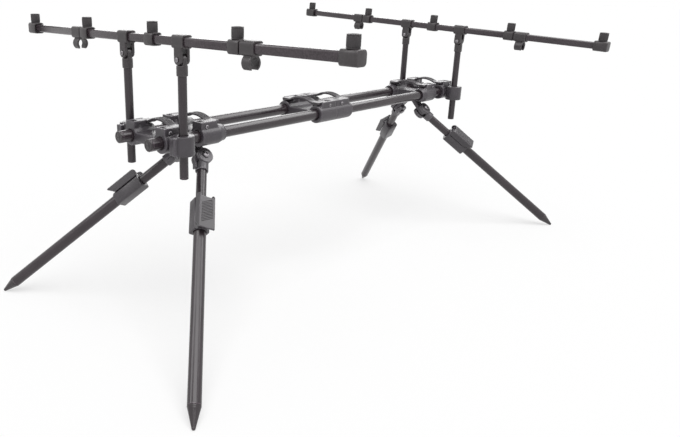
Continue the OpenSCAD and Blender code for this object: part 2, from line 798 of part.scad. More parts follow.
leg_head(REAR, RIGHT);  // rear_right_leg_head
upper_leg(REAR, RIGHT);  // rear_right_upper_leg
lower_leg(REAR, RIGHT);  // rear_right_lower_leg
leg_clamp(REAR, RIGHT);  // rear_right_leg_clamp
clamp_lever(REAR, RIGHT);  // rear_right_clamp_lever
spike(REAR, RIGHT);  // rear_right_spike
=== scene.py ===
"""The looks of a rod pod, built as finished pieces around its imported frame."""

import json
import math

import bmesh
import bpy
import numpy as np
from mathutils import Matrix, Vector

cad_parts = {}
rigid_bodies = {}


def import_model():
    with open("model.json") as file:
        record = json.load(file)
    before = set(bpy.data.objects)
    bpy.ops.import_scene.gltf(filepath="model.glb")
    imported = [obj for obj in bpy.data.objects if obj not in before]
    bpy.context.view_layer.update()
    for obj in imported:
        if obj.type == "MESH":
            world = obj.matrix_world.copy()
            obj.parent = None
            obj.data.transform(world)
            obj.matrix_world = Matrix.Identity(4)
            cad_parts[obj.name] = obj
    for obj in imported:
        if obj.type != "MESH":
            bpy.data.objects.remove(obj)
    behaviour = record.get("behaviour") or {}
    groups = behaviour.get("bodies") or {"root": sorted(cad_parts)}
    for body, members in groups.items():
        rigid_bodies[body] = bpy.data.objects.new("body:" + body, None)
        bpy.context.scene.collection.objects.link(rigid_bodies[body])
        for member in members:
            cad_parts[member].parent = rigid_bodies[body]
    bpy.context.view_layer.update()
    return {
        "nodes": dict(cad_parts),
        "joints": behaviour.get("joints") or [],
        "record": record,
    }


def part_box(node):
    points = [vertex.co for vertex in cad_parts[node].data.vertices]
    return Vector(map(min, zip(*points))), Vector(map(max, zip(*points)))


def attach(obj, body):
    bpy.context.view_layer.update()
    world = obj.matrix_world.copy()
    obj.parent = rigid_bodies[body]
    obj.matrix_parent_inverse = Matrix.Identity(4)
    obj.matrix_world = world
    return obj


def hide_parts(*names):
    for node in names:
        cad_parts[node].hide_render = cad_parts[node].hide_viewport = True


bl_info = {
    "name": "Rod Pod",
    "version": (1, 0, 0),
    "blender": (4, 5, 0),
    "location": "View3D > Sidebar > Rod Pod",
    "description": "Builds the finished pieces of a rod pod around its packed frame",
    "category": "Object",
}

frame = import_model()
RECORD = frame["record"]
JOINTS = {joint["name"]: joint for joint in frame["joints"]}
MOUNTS = {mount["name"]: mount for mount in RECORD["mounts"]}
BODY_OF = {node: body for body, nodes in RECORD["behaviour"]["bodies"].items() for node in nodes}
SLOT_OF = {part["node"]: part["material_slot"] for part in RECORD["subparts"]}

MM = 0.001
WELD = 0.005 * MM
SHARP = math.radians(38)
ENDS = {"front": -1, "rear": 1}
SIDES = {"left": 1, "right": -1}
LEGS = [f"{end}_{side}" for end in ENDS for side in SIDES]
SOCKETS = range(1, 6)
MIDDLE_SOCKET = 3
AXIS_X, AXIS_Y, AXIS_Z = Vector((1, 0, 0)), Vector((0, 1, 0)), Vector((0, 0, 1))

# Steps of the mesh round each kind of turned piece
TUBE_TURNS, LEG_TURNS, PLUG_TURNS, PIN_TURNS = 96, 80, 72, 48
BEAD_TURNS, BARREL_TURNS = 12, 64
# Steps for each flute of a socket and for each turn of its thread
FLUTE_TURNS, THREAD_STEPS = 4, 4
# Steps of the mesh along each kind of rounding
CORNER_STEPS, RIM_STEPS, BARREL_RIM_STEPS = 6, 5, 4
RIB_SIDES = 8
GRIP_STEPS = 24
GRIP_EDGES = [(step, step + 1) for step in range(GRIP_STEPS)]
# How far each smoothing step rounds a moulding's edges
ROUNDING = 0.5
# How far a fully worn edge stands out, in mesh spacings
FULL_WEAR = 0.055
# A spike's flats: their depth as a share of its radius, and how fast they set in along it
SPIKE_STEPS = 12
FLAT_DEPTH, FLAT_ONSET = 0.05, 4
# Angles at which the rings of a spike's tip and of a bolt's dome lie
TIP_TURNS = (0.35, 0.7, 1.05, 1.35)
DOME_TURNS = (0.0, 0.25, 0.5, 0.75, 1.0)
# Limits within which a piece of a CAD node is looked for
SLEEVE_LEAST, SLEEVE_MOST, SLEEVE_SLICE = 1 * MM, 7 * MM, 0.1 * MM
BARREL_SKIN = 2 * MM
CROWN_HALF = 20 * MM
BOLT_REACH = 10 * MM
FOOT_SLICE = 1 * MM
HEAD_DEPTH = 10 * MM

# The photograph's frame, its lens and the point that the camera faces, in pixels
PHOTO_WIDE, PHOTO_HIGH = 680, 437
FOCAL = 640.482
CENTRE_X, CENTRE_Y = 241.557, 191.862
# The camera's place in metres and its directions
CAMERA_PLACE = Vector((-1.01797, -0.82532, 0.54498))
CAMERA_FORWARD = Vector((0.663418, 0.686471, -0.297715))
CAMERA_RIGHT = Vector((0.720912, -0.692973, 0.008598))
SENSOR = 36.0
CLIP_START = 0.01

# The studio: the floor and its share of plain white, the sun, and strips of light that show as gloss
WHITE = (1, 1, 1, 1)
FLOOR_REACH = 40.0
FLOOR_WHITE = 0.6
AMBIENT = 0.36
SUN_POWER = 2.3
SUN_ANGLE = math.radians(55)
SUN_TURN = (math.radians(22), math.radians(-12), 0)
STRIP_TARGET = Vector((0, 0, 0.3))
# Each strip's place, width, height and power
STRIPS = {
    "left_strip": ((-2.1, 1.0, 2.3), 0.9, 2.4, 26.0),
    "back_strip": ((1.9, 2.1, 1.3), 3.0, 1.0, 30.0),
    "top_strip": ((1.9, -0.8, 2.4), 3.2, 1.3, 52.0),
}


def length(name, description, millimetres):
    """A length that the sidebar shows in scene units."""
    return bpy.props.FloatProperty(name=name, description=description, default=millimetres * MM,
                                   unit="LENGTH", subtype="DISTANCE", precision=5)


def count(name, description, default):
    """A whole number of repeats."""
    return bpy.props.IntProperty(name=name, description=description, default=default, min=1)


def colour(name, description, default):
    """A colour, as linear light."""
    return bpy.props.FloatVectorProperty(name=name, description=description, default=default,
                                         size=3, subtype="COLOR", min=0, max=1)


class RodPodSizes(bpy.types.PropertyGroup):
    """Sizes of the finish that the frame does not give."""
    tube_wall: length("Tube wall", "Wall of the main tubes, uprights and bars", 1.5)
    leg_wall: length("Leg wall", "Wall of the leg tubes", 1.35)
    tube_chamfer: length("Tube chamfer", "Chamfer at a tube's ends", 0.5)
    fit: length("Fit", "Gap between a plug and the tube that it sits in", 0.05)
    spigot: length("Spigot", "Length of a plug or spike inside its tube", 12.0)
    plug_round: length("Plug round", "Rounding of an end plug's rim", 1.4)
    plug_rim: length("Plug rim", "Width of the rim round an end plug's dish", 2.6)
    plug_dish: length("Plug dish", "Depth of that dish", 0.6)
    bracket_voxel: length("Bracket grain", "Mesh spacing of the brackets", 0.95)
    fitting_voxel: length("Fitting grain", "Mesh spacing of the smaller mouldings", 0.7)
    edge_rounds: count("Edge rounds", "Smoothing steps that round a moulding's edges", 8)
    bead: length("Bead", "Radius of the beads round the sleeves' mouths", 0.9)
    grip_half: length("Grip half", "Half the span of each arched grip", 28.0)
    grip_rise: length("Grip rise", "Rise of that arch", 7.0)
    grip_reach: length("Grip reach", "Half the length of the ribs along that arch", 22.0)
    grip_ribs: count("Grip ribs", "Ribs along each arched grip", 4)
    grip_pitch: length("Grip pitch", "Distance between those ribs", 3.4)
    grip_rib: length("Grip rib", "Radius of those ribs", 0.6)
    barrel_radius: length("Barrel radius", "Outside radius of the sleeve round a barrel", 17.5)
    barrel_bore: length("Barrel bore", "Inside radius of that sleeve", 12.0)
    barrel_mouth: length("Barrel mouth", "Half the gap in that sleeve", 6.0)
    barrel_rim: length("Barrel rim", "Rounding of that sleeve's rims", 1.4)
    barrel_inset: length("Barrel inset", "Distance of those rims from the barrel's ends", 0.4)
    box_bore: length("Box bore", "Radius of the bore through a leg clamp's box", 12.5)
    box_corner: length("Box corner", "Corner radius of that box", 4.0)
    box_rim: length("Box rim", "Rounding of that box's ends", 1.2)
    box_gap: length("Box gap", "Gap between that box and its lever", 0.6)
    box_back: length("Box back", "Wall of that box behind the clamp", 0.1)
    plate_ribs: count("Plate ribs", "Slanted ribs on each clamp lever", 13)
    plate_pitch: length("Plate pitch", "Distance between those ribs", 2.8)
    plate_rib: length("Plate rib", "Radius of those ribs", 0.7)
    plate_rib_length: length("Plate rib length", "Length of those ribs", 22.0)
    plate_slant: bpy.props.FloatProperty(name="Plate slant", description="Slant of those ribs",
                                         default=math.radians(28), subtype="ANGLE", unit="ROTATION")
    bar_side: length("Bar side", "Side of a bar's square section", 13.4)
    bar_corner: length("Bar corner", "Corner radius of that section", 3.0)
    collar_side: length("Collar side", "Side of a collar on a bar", 20.0)
    collar_corner: length("Collar corner", "Corner radius of a collar past that of its bar", 1.6)
    collar_chamfer: length("Collar chamfer", "Chamfer round a collar's ends", 0.7)
    collar_fit: length("Collar fit", "Room in a collar for its bar", 0.1)
    collar_length: length("Collar length", "Length of an end collar along its bar", 26.0)
    collar_short: length("Collar short", "Length of the collars between the end ones", 21.0)
    collar_end: length("Collar end", "Thickness of an end collar's closed end", 3.0)
    collar_mouth: length("Collar mouth", "Recess of a collar's mouth round its bar", 1.3)
    mouth_depth: length("Mouth depth", "Depth of that recess", 3.0)
    socket_radius: length("Socket radius", "Outside radius of a socket", 8.5)
    socket_rise: length("Socket rise", "Height of a socket above its collar", 16.5)
    thread_radius: length("Thread radius", "Outer radius of a socket's thread", 4.76)
    thread_cut: length("Thread cut", "Height of that thread's ridges", 0.55)
    thread_pitch: length("Thread pitch", "Pitch of that thread", 1.27)
    thread_lead: length("Thread lead", "Chamfer at that thread's mouth", 0.9)
    thread_depth: length("Thread depth", "Depth of that thread", 14.0)
    flutes: count("Flutes", "Flutes round a socket", 28)
    flute_depth: length("Flute depth", "Depth of those flutes", 0.45)
    pin_shank: length("Pin shank", "Radius of a pin's shank", 2.5)
    pin_length: length("Pin length", "Length of a lever pin's shank from each head", 23.5)
    pin_rise: length("Pin rise", "Height of a pin's head", 1.5)
    pin_head: length("Pin head", "Radius of a lever pin's head", 3.3)
    swivel_head: length("Swivel head", "Radius of a swivel pin's head", 3.7)
    bolt_shank: length("Bolt shank", "Radius of a leg bolt's shank", 3.0)
    bolt_head: length("Bolt head", "Radius of a leg bolt's head", 6.0)
    bolt_rise: length("Bolt rise", "Height of that head and of its nut", 3.5)
    spike_wall: length("Spike wall", "Step from a spike's rim to its spigot", 2.5)
    spike_blunt: length("Spike blunt", "Radius of a spike's tip", 3.0)
    spike_rim: length("Spike rim", "Length of the plain rim above a spike's flats", 3.0)
    spike_flats: count("Spike flats", "Flats round a spike", 8)
    cap_rise: length("Cap rise", "Height of the cap under an upright", 1.5)
    cap_round: length("Cap round", "Rounding of that cap's rim", 1.2)
    cap_spigot: length("Cap spigot", "Length of that cap inside its upright", 9.0)
    upright_seat: length("Upright seat", "Distance of an upright's tube below its swivel pin", 18.0)


class RodPodColours(bpy.types.PropertyGroup):
    """Colours of the finishes."""
    tube: colour("Tube", "Anodised gunmetal of the tubes", (0.021, 0.015, 0.018))
    tube_light: colour("Tube light", "Worn places of that finish", (0.042, 0.032, 0.038))
    moulding: colour("Moulding", "Satin grey of the brackets", (0.051, 0.045, 0.052))
    collar: colour("Collar", "Dark grey of the fittings on the bars", (0.034, 0.029, 0.031))
    lever: colour("Lever", "Matte grey of the levers", (0.044, 0.039, 0.044))
    plug: colour("Plug", "Dark plastic of the plugs and spikes", (0.030, 0.024, 0.027))
    socket: colour("Socket", "Anodised metal of the sockets", (0.026, 0.022, 0.024))
    hinge: colour("Hinge", "Satin metal of the leg heads", (0.085, 0.079, 0.086))
    steel: colour("Steel", "Plain steel of the pins and bolts", (0.20, 0.19, 0.20))
    floor: colour("Floor", "Pale floor", (0.98, 0.98, 0.98))


def sizes():
    """The sizes that the sidebar shows."""
    return bpy.context.scene.rodpod_sizes


def colours():
    """The colours that the sidebar shows."""
    return bpy.context.scene.rodpod_colours


# Materials
class Field:
    """An output of a shader node, with arithmetic that adds Math nodes."""

    def __init__(self, surface, socket):
        self.surface = surface
        self.socket = socket

    def combined(self, operation, first, second):
        return self.surface.node("ShaderNodeMath", {"operation": operation}, {0: first, 1: second})

    def __add__(self, other):
        return self.combined("ADD", self, other)

    def __sub__(self, other):
        return self.combined("SUBTRACT", self, other)

    def __mul__(self, other):
        return self.combined("MULTIPLY", self, other)

    def __rsub__(self, other):
        return self.combined("SUBTRACT", other, self)

    def __or__(self, other):
        return self.combined("MAXIMUM", self, other)

    __radd__ = __add__
    __rmul__ = __mul__
    __ror__ = __or__


# The sockets of a Mix node that mix colours
MIX_FACTOR, MIX_FIRST, MIX_SECOND, MIX_RESULT = 0, 6, 7, 2
NOISE_ROUGHNESS = 0.55


class Surface:
    """The nodes of a material or a world, with one method that adds a node."""

    def __init__(self, owner):
        owner.use_nodes = True
        self.owner = owner
        self.tree = owner.node_tree
        self.tree.nodes.clear()

    def node(self, kind, settings=None, inputs=None, output=0):
        node = self.tree.nodes.new(kind)
        for key, value in (settings or {}).items():
            setattr(node, key, value)
        for key, value in (inputs or {}).items():
            if isinstance(value, Field):
                self.tree.links.new(value.socket, node.inputs[key])
            else:
                node.inputs[key].default_value = value
        return Field(self, node.outputs[output]) if node.outputs else None

    def place(self):
        return self.node("ShaderNodeTexCoord", output="Object")

    def drawn(self, direction, stretch):
        """Object coordinates, drawn out along a direction."""
        turn = direction.to_track_quat("X", "Z").to_euler()
        return self.node("ShaderNodeMapping", {"vector_type": "TEXTURE"},
                         {"Vector": self.place(), "Rotation": turn, "Scale": (stretch, 1, 1)})

    def noise(self, scale, detail, vector=None):
        return self.node("ShaderNodeTexNoise", {}, {
            "Vector": vector or self.place(), "Scale": scale, "Detail": detail, "Roughness": NOISE_ROUGHNESS})

    def ramp(self, value, low=0.3, high=0.7):
        """A value spread from 0 at low to 1 at high."""
        return self.node("ShaderNodeMapRange", {"clamp": True},
                         {"Value": value, "From Min": low, "From Max": high})

    def rubbed(self, scale, detail, low=0.3, high=0.7):
        """The wear that a piece's mesh holds along its edges, in patches."""
        edge = self.node("ShaderNodeAttribute", {"attribute_name": "edge"}, output="Fac")
        return edge * self.ramp(self.noise(scale, detail), low, high)

    def blend(self, factor, first, second):
        """A mix of two colours, each of them a shade or a node's output."""
        first, second = (end if isinstance(end, Field) else (*end, 1) for end in (first, second))
        return self.node("ShaderNodeMix", {"data_type": "RGBA"},
                         {MIX_FACTOR: factor, MIX_FIRST: first, MIX_SECOND: second}, output=MIX_RESULT)

    def seen(self):
        """1 on rays that show the background: to the camera, off a gloss or through glass."""
        camera, glossy, through = (self.node("ShaderNodeLightPath", output=f"Is {ray} Ray")
                                   for ray in ("Camera", "Glossy", "Transmission"))
        return camera | glossy | through

    def finish(self, base, roughness, height, depth, metallic=0.0):
        bump = self.node("ShaderNodeBump", {}, {"Strength": 1.0, "Distance": depth, "Height": height})
        shader = self.node("ShaderNodeBsdfPrincipled", {}, {
            "Base Color": base, "Roughness": roughness, "Metallic": metallic, "Normal": bump})
        self.node("ShaderNodeOutputMaterial", {}, {"Surface": shader})
        return self.owner


def lighter(shade, times):
    return tuple(min(1.0, part * times) for part in shade)


def anodised(name, direction):
    """Satin gunmetal on drawn tube: faint lines along it, cloudy patches and paler rubbed edges."""
    surface = Surface(bpy.data.materials.new(name))
    dark, pale = colours().tube, colours().tube_light
    lines = surface.noise(scale=1500, detail=2, vector=surface.drawn(direction, stretch=90))
    cloud = surface.noise(scale=14, detail=3)
    specks = surface.noise(scale=1900, detail=1)
    rubbed = surface.rubbed(scale=420, detail=3, low=0.35, high=0.65)
    tint = 0.45 * surface.ramp(lines) + 0.55 * surface.ramp(cloud)
    skin = surface.blend(tint, lighter(dark, 0.9), pale)
    base = surface.blend(rubbed, skin, lighter(pale, 4.0))
    roughness = 0.16 + 0.08 * lines + 0.08 * cloud - 0.05 * rubbed
    height = 0.7 * lines + 0.3 * specks
    return surface.finish(base, roughness, height, 0.012 * MM)


def moulded(name, shade, roughness, grain):
    """Grained plastic: a fine leathery texture, slight mottling and polished edges."""
    surface = Surface(bpy.data.materials.new(name))
    fine = surface.noise(scale=grain, detail=2)
    pits = surface.node("ShaderNodeTexVoronoi", {}, {"Vector": surface.place(), "Scale": grain * 0.6})
    cloud = surface.noise(scale=35, detail=4)
    rubbed = surface.rubbed(scale=300, detail=3)
    skin = surface.blend(surface.ramp(cloud), lighter(shade, 0.86), lighter(shade, 1.14))
    dust = surface.blend(0.22 * surface.ramp(fine, low=0.45, high=0.75), skin, lighter(shade, 1.8))
    base = surface.blend(0.6 * rubbed, dust, lighter(shade, 2.6))
    rough = roughness + 0.1 * fine - 0.16 * rubbed
    height = 0.6 * fine + 0.4 * pits
    return surface.finish(base, rough, height, 0.03 * MM)


def turned_metal(name, shade, roughness, metallic):
    """Turned metal: fine speckle, faint tarnish and bright edges."""
    surface = Surface(bpy.data.materials.new(name))
    fine = surface.noise(scale=2400, detail=2)
    cloud = surface.noise(scale=90, detail=3)
    rubbed = surface.rubbed(scale=500, detail=2, low=0.3, high=0.6)
    skin = surface.blend(surface.ramp(cloud), lighter(shade, 0.8), lighter(shade, 1.2))
    base = surface.blend(0.5 * rubbed, skin, lighter(shade, 2.2))
    rough = roughness + 0.12 * cloud + 0.06 * fine
    return surface.finish(base, rough, fine, 0.01 * MM, metallic)


# Colour, roughness and grain of each moulding
MOULDINGS = {
    "grey_moulding": ("moulding", 0.31, 1500),
    "collar_moulding": ("collar", 0.36, 1600),
    "lever_moulding": ("lever", 0.31, 1700),
    "plug_plastic": ("plug", 0.2, 1900),
}
# Colour, roughness and share of bare metal of each turned piece's finish
METALS = {
    "hinge_metal": ("hinge", 0.26, 0.2),
    "socket_metal": ("socket", 0.36, 0.0),
    "steel": ("steel", 0.26, 0.9),
}
FINISHES = {}


def finish_of(name):
    """The material of that name, made on first use."""
    if name not in FINISHES:
        if name in TUBE_DIRECTIONS:
            FINISHES[name] = anodised(name, TUBE_DIRECTIONS[name])
        elif name in MOULDINGS:
            colour_name, roughness, grain = MOULDINGS[name]
            FINISHES[name] = moulded(name, getattr(colours(), colour_name), roughness, grain)
        else:
            colour_name, roughness, metallic = METALS[name]
            FINISHES[name] = turned_metal(name, getattr(colours(), colour_name), roughness, metallic)
    return FINISHES[name]


# Frames of the moving pieces
def leg_along(leg):
    return -Vector(JOINTS[f"{leg}_leg_shorten"]["axis"]).normalized()


def leg_frame(leg):
    """A leg at its hinge: Z runs down the leg and X is the hinge axis, pointing outwards."""
    along = leg_along(leg)
    side = SIDES[leg.split("_")[1]]
    outward = Vector((0, -side * along.z, abs(along.y))).normalized()
    place = Matrix((outward, along.cross(outward), along)).transposed().to_4x4()
    place.translation = JOINTS[f"{leg}_leg_fold"]["pos_m"]
    return place


def clamp_frame(leg):
    """A leg's clamp, from its hinge: Z runs down the leg and X points at the lever's pin."""
    place = leg_frame(leg)
    pin = place.inverted() @ Vector(JOINTS[f"{leg}_clamp_lever_lift"]["pos_m"])
    return place @ Matrix.Rotation(math.atan2(pin.y, pin.x), 4, "Z")


def lever_frame(joint_name):
    """A cam lever at its pin, with its grip towards X."""
    joint = JOINTS[joint_name]
    turn = 0 if joint["axis"][1] < 0 else math.pi
    return Matrix.Translation(joint["pos_m"]) @ Matrix.Rotation(turn, 4, "Z")


def bar_left(end):
    """The direction of a bar, from right to left."""
    first, last = (Vector(MOUNTS[f"{end}_socket_{number}"]["pos_m"]) for number in (SOCKETS[0], SOCKETS[-1]))
    return (first - last).normalized()


def bar_axes(end):
    """A bar's middle, its run to the left and its upright direction."""
    socket = MOUNTS[f"{end}_socket_{MIDDLE_SOCKET}"]
    up = Vector(socket["axis"]).normalized()
    rise = sizes().collar_side / 2 + sizes().socket_rise - sizes().thread_depth / 2
    middle = Vector(socket["pos_m"]) - up * rise
    return middle, bar_left(end), up


def bar_frame(end, distance=0.0):
    """A place on a bar: Z runs along the bar to the left and X points up."""
    middle, left, up = bar_axes(end)
    place = Matrix((up, left.cross(up), left)).transposed().to_4x4()
    place.translation = middle + left * distance
    return place


def socket_frame(end, number):
    """The foot of a socket, on top of its collar."""
    _, left, up = bar_axes(end)
    mouth = Vector(MOUNTS[f"{end}_socket_{number}"]["pos_m"])
    place = Matrix((left.cross(up), left, up)).transposed().to_4x4()
    place.translation = mouth + up * (sizes().thread_depth / 2 - sizes().socket_rise)
    return place


def upright_frame(end, side):
    """An upright at its swivel pin, with Z upwards."""
    name = f"{end}_bar_tilt" if side == "left" else f"{end}_right_upright_swivel"
    return Matrix.Translation(JOINTS[name]["pos_m"])


def along_x(place, outwards=1):
    """A frame at a place whose Z points along X, forwards or back."""
    turned = Matrix((AXIS_Y * outwards, AXIS_Z, AXIS_X * outwards)).transposed().to_4x4()
    turned.translation = place
    return turned


def along_y(place, outwards=1):
    """A frame at a place whose Z points along Y, left or right."""
    turned = Matrix((AXIS_Z, AXIS_X * outwards, AXIS_Y * outwards)).transposed().to_4x4()
    turned.translation = place
    return turned


# The direction of the drawn lines in each finish of the tubes
TUBE_DIRECTIONS = {"anodised_x": AXIS_X, "anodised_z": AXIS_Z}
TUBE_DIRECTIONS.update({f"anodised_{leg}": leg_along(leg) for leg in LEGS})
TUBE_DIRECTIONS.update({f"anodised_{end}_bar": bar_left(end) for end in ENDS})


def node_points(node, place):
    """A CAD node's points in a frame, one row each."""
    mesh = frame["nodes"][node].data
    points = np.empty(len(mesh.vertices) * 3)
    mesh.vertices.foreach_get("co", points)
    back = np.array(place.inverted())
    return points.reshape(-1, 3) @ back[:3, :3].T + back[:3, 3]


# Mesh building
def paint(mesh, finish):
    mesh.materials.clear()
    mesh.materials.append(finish_of(finish))


def new_piece(name, mesh, finish):
    paint(mesh, finish)
    piece = bpy.data.objects.new(name, mesh)
    bpy.context.scene.collection.objects.link(piece)
    return piece


def settle(piece, body, slot, *nodes):
    """Let a finished piece ride on a body in place of its CAD nodes."""
    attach(piece, body)
    if nodes:
        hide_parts(*nodes)


def settle_whole(piece, node):
    """Let a piece take a CAD node's place."""
    settle(piece, BODY_OF[node], SLOT_OF[node], node)


def settle_detail(piece, node):
    """Let a piece ride along with a CAD node."""
    settle(piece, BODY_OF[node], SLOT_OF[node])


def smooth(mesh):
    mesh.shade_smooth()
    mesh.set_sharp_from_angle(angle=SHARP)


def mark_edges(mesh, values):
    edge = mesh.attributes.new("edge", "FLOAT", "POINT")
    edge.data.foreach_set("value", np.asarray(values, dtype=np.float32))


class Skin:
    """Quads between loops of points, gathered into one mesh."""

    def __init__(self):
        self.points = []
        self.faces = []
        self.edges = []

    def loops(self, loops, place, closed=False, edges=None):
        """Join loops in order: each runs anticlockwise seen from the end that the loops run towards."""
        first = len(self.points)
        size = len(loops[0])
        for index, loop in enumerate(loops):
            self.points += [place @ Vector(point) for point in loop]
            self.edges += [edges[index] if edges else 0.0] * size
        rows = [first + index * size for index in range(len(loops))]
        following = rows[1:] + rows[:1] if closed else rows[1:]
        for low, high in zip(rows, following):
            for i in range(size):
                j = (i + 1) % size
                self.faces.append((low + i, low + j, high + j, high + i))
        if not closed:
            self.faces.append(tuple(rows[0] + i for i in reversed(range(size))))
            self.faces.append(tuple(rows[-1] + i for i in range(size)))

    def lathe(self, profile, place, segments, closed=False):
        """Turn a profile of radius, height and edge wear about Z. A radius may be a function of the angle."""
        turns = full_turn(segments)
        loops = []
        for radius, height, _ in profile:
            reach = radius if callable(radius) else lambda turn, fixed=radius: fixed
            loops.append([(reach(t) * math.cos(t), reach(t) * math.sin(t), height) for t in turns])
        self.loops(loops, place, closed, [wear for _, _, wear in profile])

    def squares(self, stations, place, closed=False):
        """Join round-cornered squares of side, corner, height and edge wear along Z."""
        loops = [[(x, y, height) for x, y in round_box(side, side, corner)]
                 for side, corner, height, _ in stations]
        self.loops(loops, place, closed, [wear for _, _, _, wear in stations])

    def mesh(self, name):
        mesh = bpy.data.meshes.new(name)
        mesh.from_pydata(self.points, [], self.faces)
        mark_edges(mesh, self.edges)
        smooth(mesh)
        return mesh

    def piece(self, name, finish):
        return new_piece(name, self.mesh(name), finish)


def full_turn(steps):
    """Angles evenly round a circle."""
    return [2 * math.pi * step / steps for step in range(steps)]


def quarter_turn(steps):
    """Angles evenly along a quarter of a circle, with both its ends."""
    return [math.pi / 2 * step / steps for step in range(steps + 1)]


def round_box(wide, deep, corner):
    """Points round a rectangle with round corners, anticlockwise."""
    points = []
    for quarter, (i, j) in enumerate(((1, 1), (-1, 1), (-1, -1), (1, -1))):
        for turn in quarter_turn(CORNER_STEPS):
            turn += quarter * math.pi / 2
            points.append((i * (wide / 2 - corner) + corner * math.cos(turn),
                           j * (deep / 2 - corner) + corner * math.sin(turn)))
    return points


def hexagon(flat):
    """A hexagon's radius at an angle, from half the distance across its flats."""
    sixth = math.pi / 3
    return lambda turn: flat / math.cos((turn % sixth) - sixth / 2)


def rounded_rim(radius, height, rim):
    """Profile points of a quarter round from a side up to a flat face."""
    return [(radius - rim + rim * math.cos(turn), height - rim * (1 - math.sin(turn)), 0.5)
            for turn in quarter_turn(RIM_STEPS)]


def tube_profile(radius, wall, low, high):
    """A tube's closed profile with chamfered ends."""
    cut = sizes().tube_chamfer
    bore = radius - wall
    worn = 4 * cut
    return [(radius - cut, low, 0.9), (radius, low + cut, 0.9), (radius, low + worn, 0.0),
            (radius, high - worn, 0.0), (radius, high - cut, 0.9), (radius - cut, high, 0.9),
            (bore, high, 0.3), (bore, low, 0.3)]


def welded_copy(name, node, keep=None):
    """A CAD node's mesh as connected faces, or only its loose solids that keep says."""
    mesh = frame["nodes"][node].data.copy()
    mesh.name = name
    work = bmesh.new()
    work.from_mesh(mesh)
    bmesh.ops.remove_doubles(work, verts=work.verts, dist=WELD)
    if keep:
        drop = []
        for solid in loose_solids(work):
            if not keep([vert.co for vert in solid]):
                drop += solid
        bmesh.ops.delete(work, geom=drop, context="VERTS")
    work.to_mesh(mesh)
    work.free()
    return mesh


def loose_solids(work):
    """The sets of vertices that edges join together."""
    waiting = set(work.verts)
    solids = []
    while waiting:
        solid, front = set(), [waiting.pop()]
        while front:
            vert = front.pop()
            solid.add(vert)
            for link in vert.link_edges:
                other = link.other_vert(vert)
                if other in waiting:
                    waiting.remove(other)
                    front.append(other)
        solids.append(solid)
    return solids


def evaluated_mesh(piece):
    """The piece's mesh with its modifiers applied, which are then removed."""
    graph = bpy.context.evaluated_depsgraph_get()
    result = bpy.data.meshes.new_from_object(piece.evaluated_get(graph))
    piece.modifiers.clear()
    return result


def convexity(mesh, full):
    """How far each point stands out of its neighbours, from 0 to 1 at the distance full."""
    total = len(mesh.vertices)
    points = np.empty(total * 3)
    normals = np.empty(total * 3)
    ends = np.empty(len(mesh.edges) * 2, dtype=np.int64)
    mesh.vertices.foreach_get("co", points)
    mesh.vertex_normals.foreach_get("vector", normals)
    mesh.edges.foreach_get("vertices", ends)
    points, normals, ends = points.reshape(-1, 3), normals.reshape(-1, 3), ends.reshape(-1, 2)
    degree = np.maximum(np.bincount(ends.ravel(), minlength=total), 1)[:, None]

    def spread(values):
        total_of = np.zeros_like(values)
        for column in range(values.shape[1]):
            total_of[:, column] = (np.bincount(ends[:, 0], values[ends[:, 1], column], total)
                                   + np.bincount(ends[:, 1], values[ends[:, 0], column], total))
        return total_of / degree

    out = ((points - spread(points)) * normals).sum(axis=1, keepdims=True)
    return np.clip(spread(spread(out)) / full, 0, 1).ravel()


def moulded_copy(name, node, voxel, finish, keep=None):
    """A CAD node as one moulded skin with rounded edges."""
    piece = new_piece(name, welded_copy(name, node, keep), finish)
    skin = piece.modifiers.new("Skin", "REMESH")
    skin.mode = "VOXEL"
    skin.voxel_size = voxel
    rounding = piece.modifiers.new("Rounding", "SMOOTH")
    rounding.factor = ROUNDING
    rounding.iterations = sizes().edge_rounds
    piece.data = evaluated_mesh(piece)
    mark_edges(piece.data, convexity(piece.data, FULL_WEAR * voxel))
    piece.data.shade_smooth()
    paint(piece.data, finish)
    return piece


def mould(node, voxel, finish):
    """A moulded skin in a CAD node's place."""
    settle_whole(moulded_copy(f"{node}_finish", node, voxel, finish), node)


def turned_piece(node, profile, place, turns, finish, closed=False):
    """A turned piece in a CAD node's place."""
    skin = Skin()
    skin.lathe(profile, place, turns, closed)
    settle_whole(skin.piece(f"{node}_finish", finish), node)


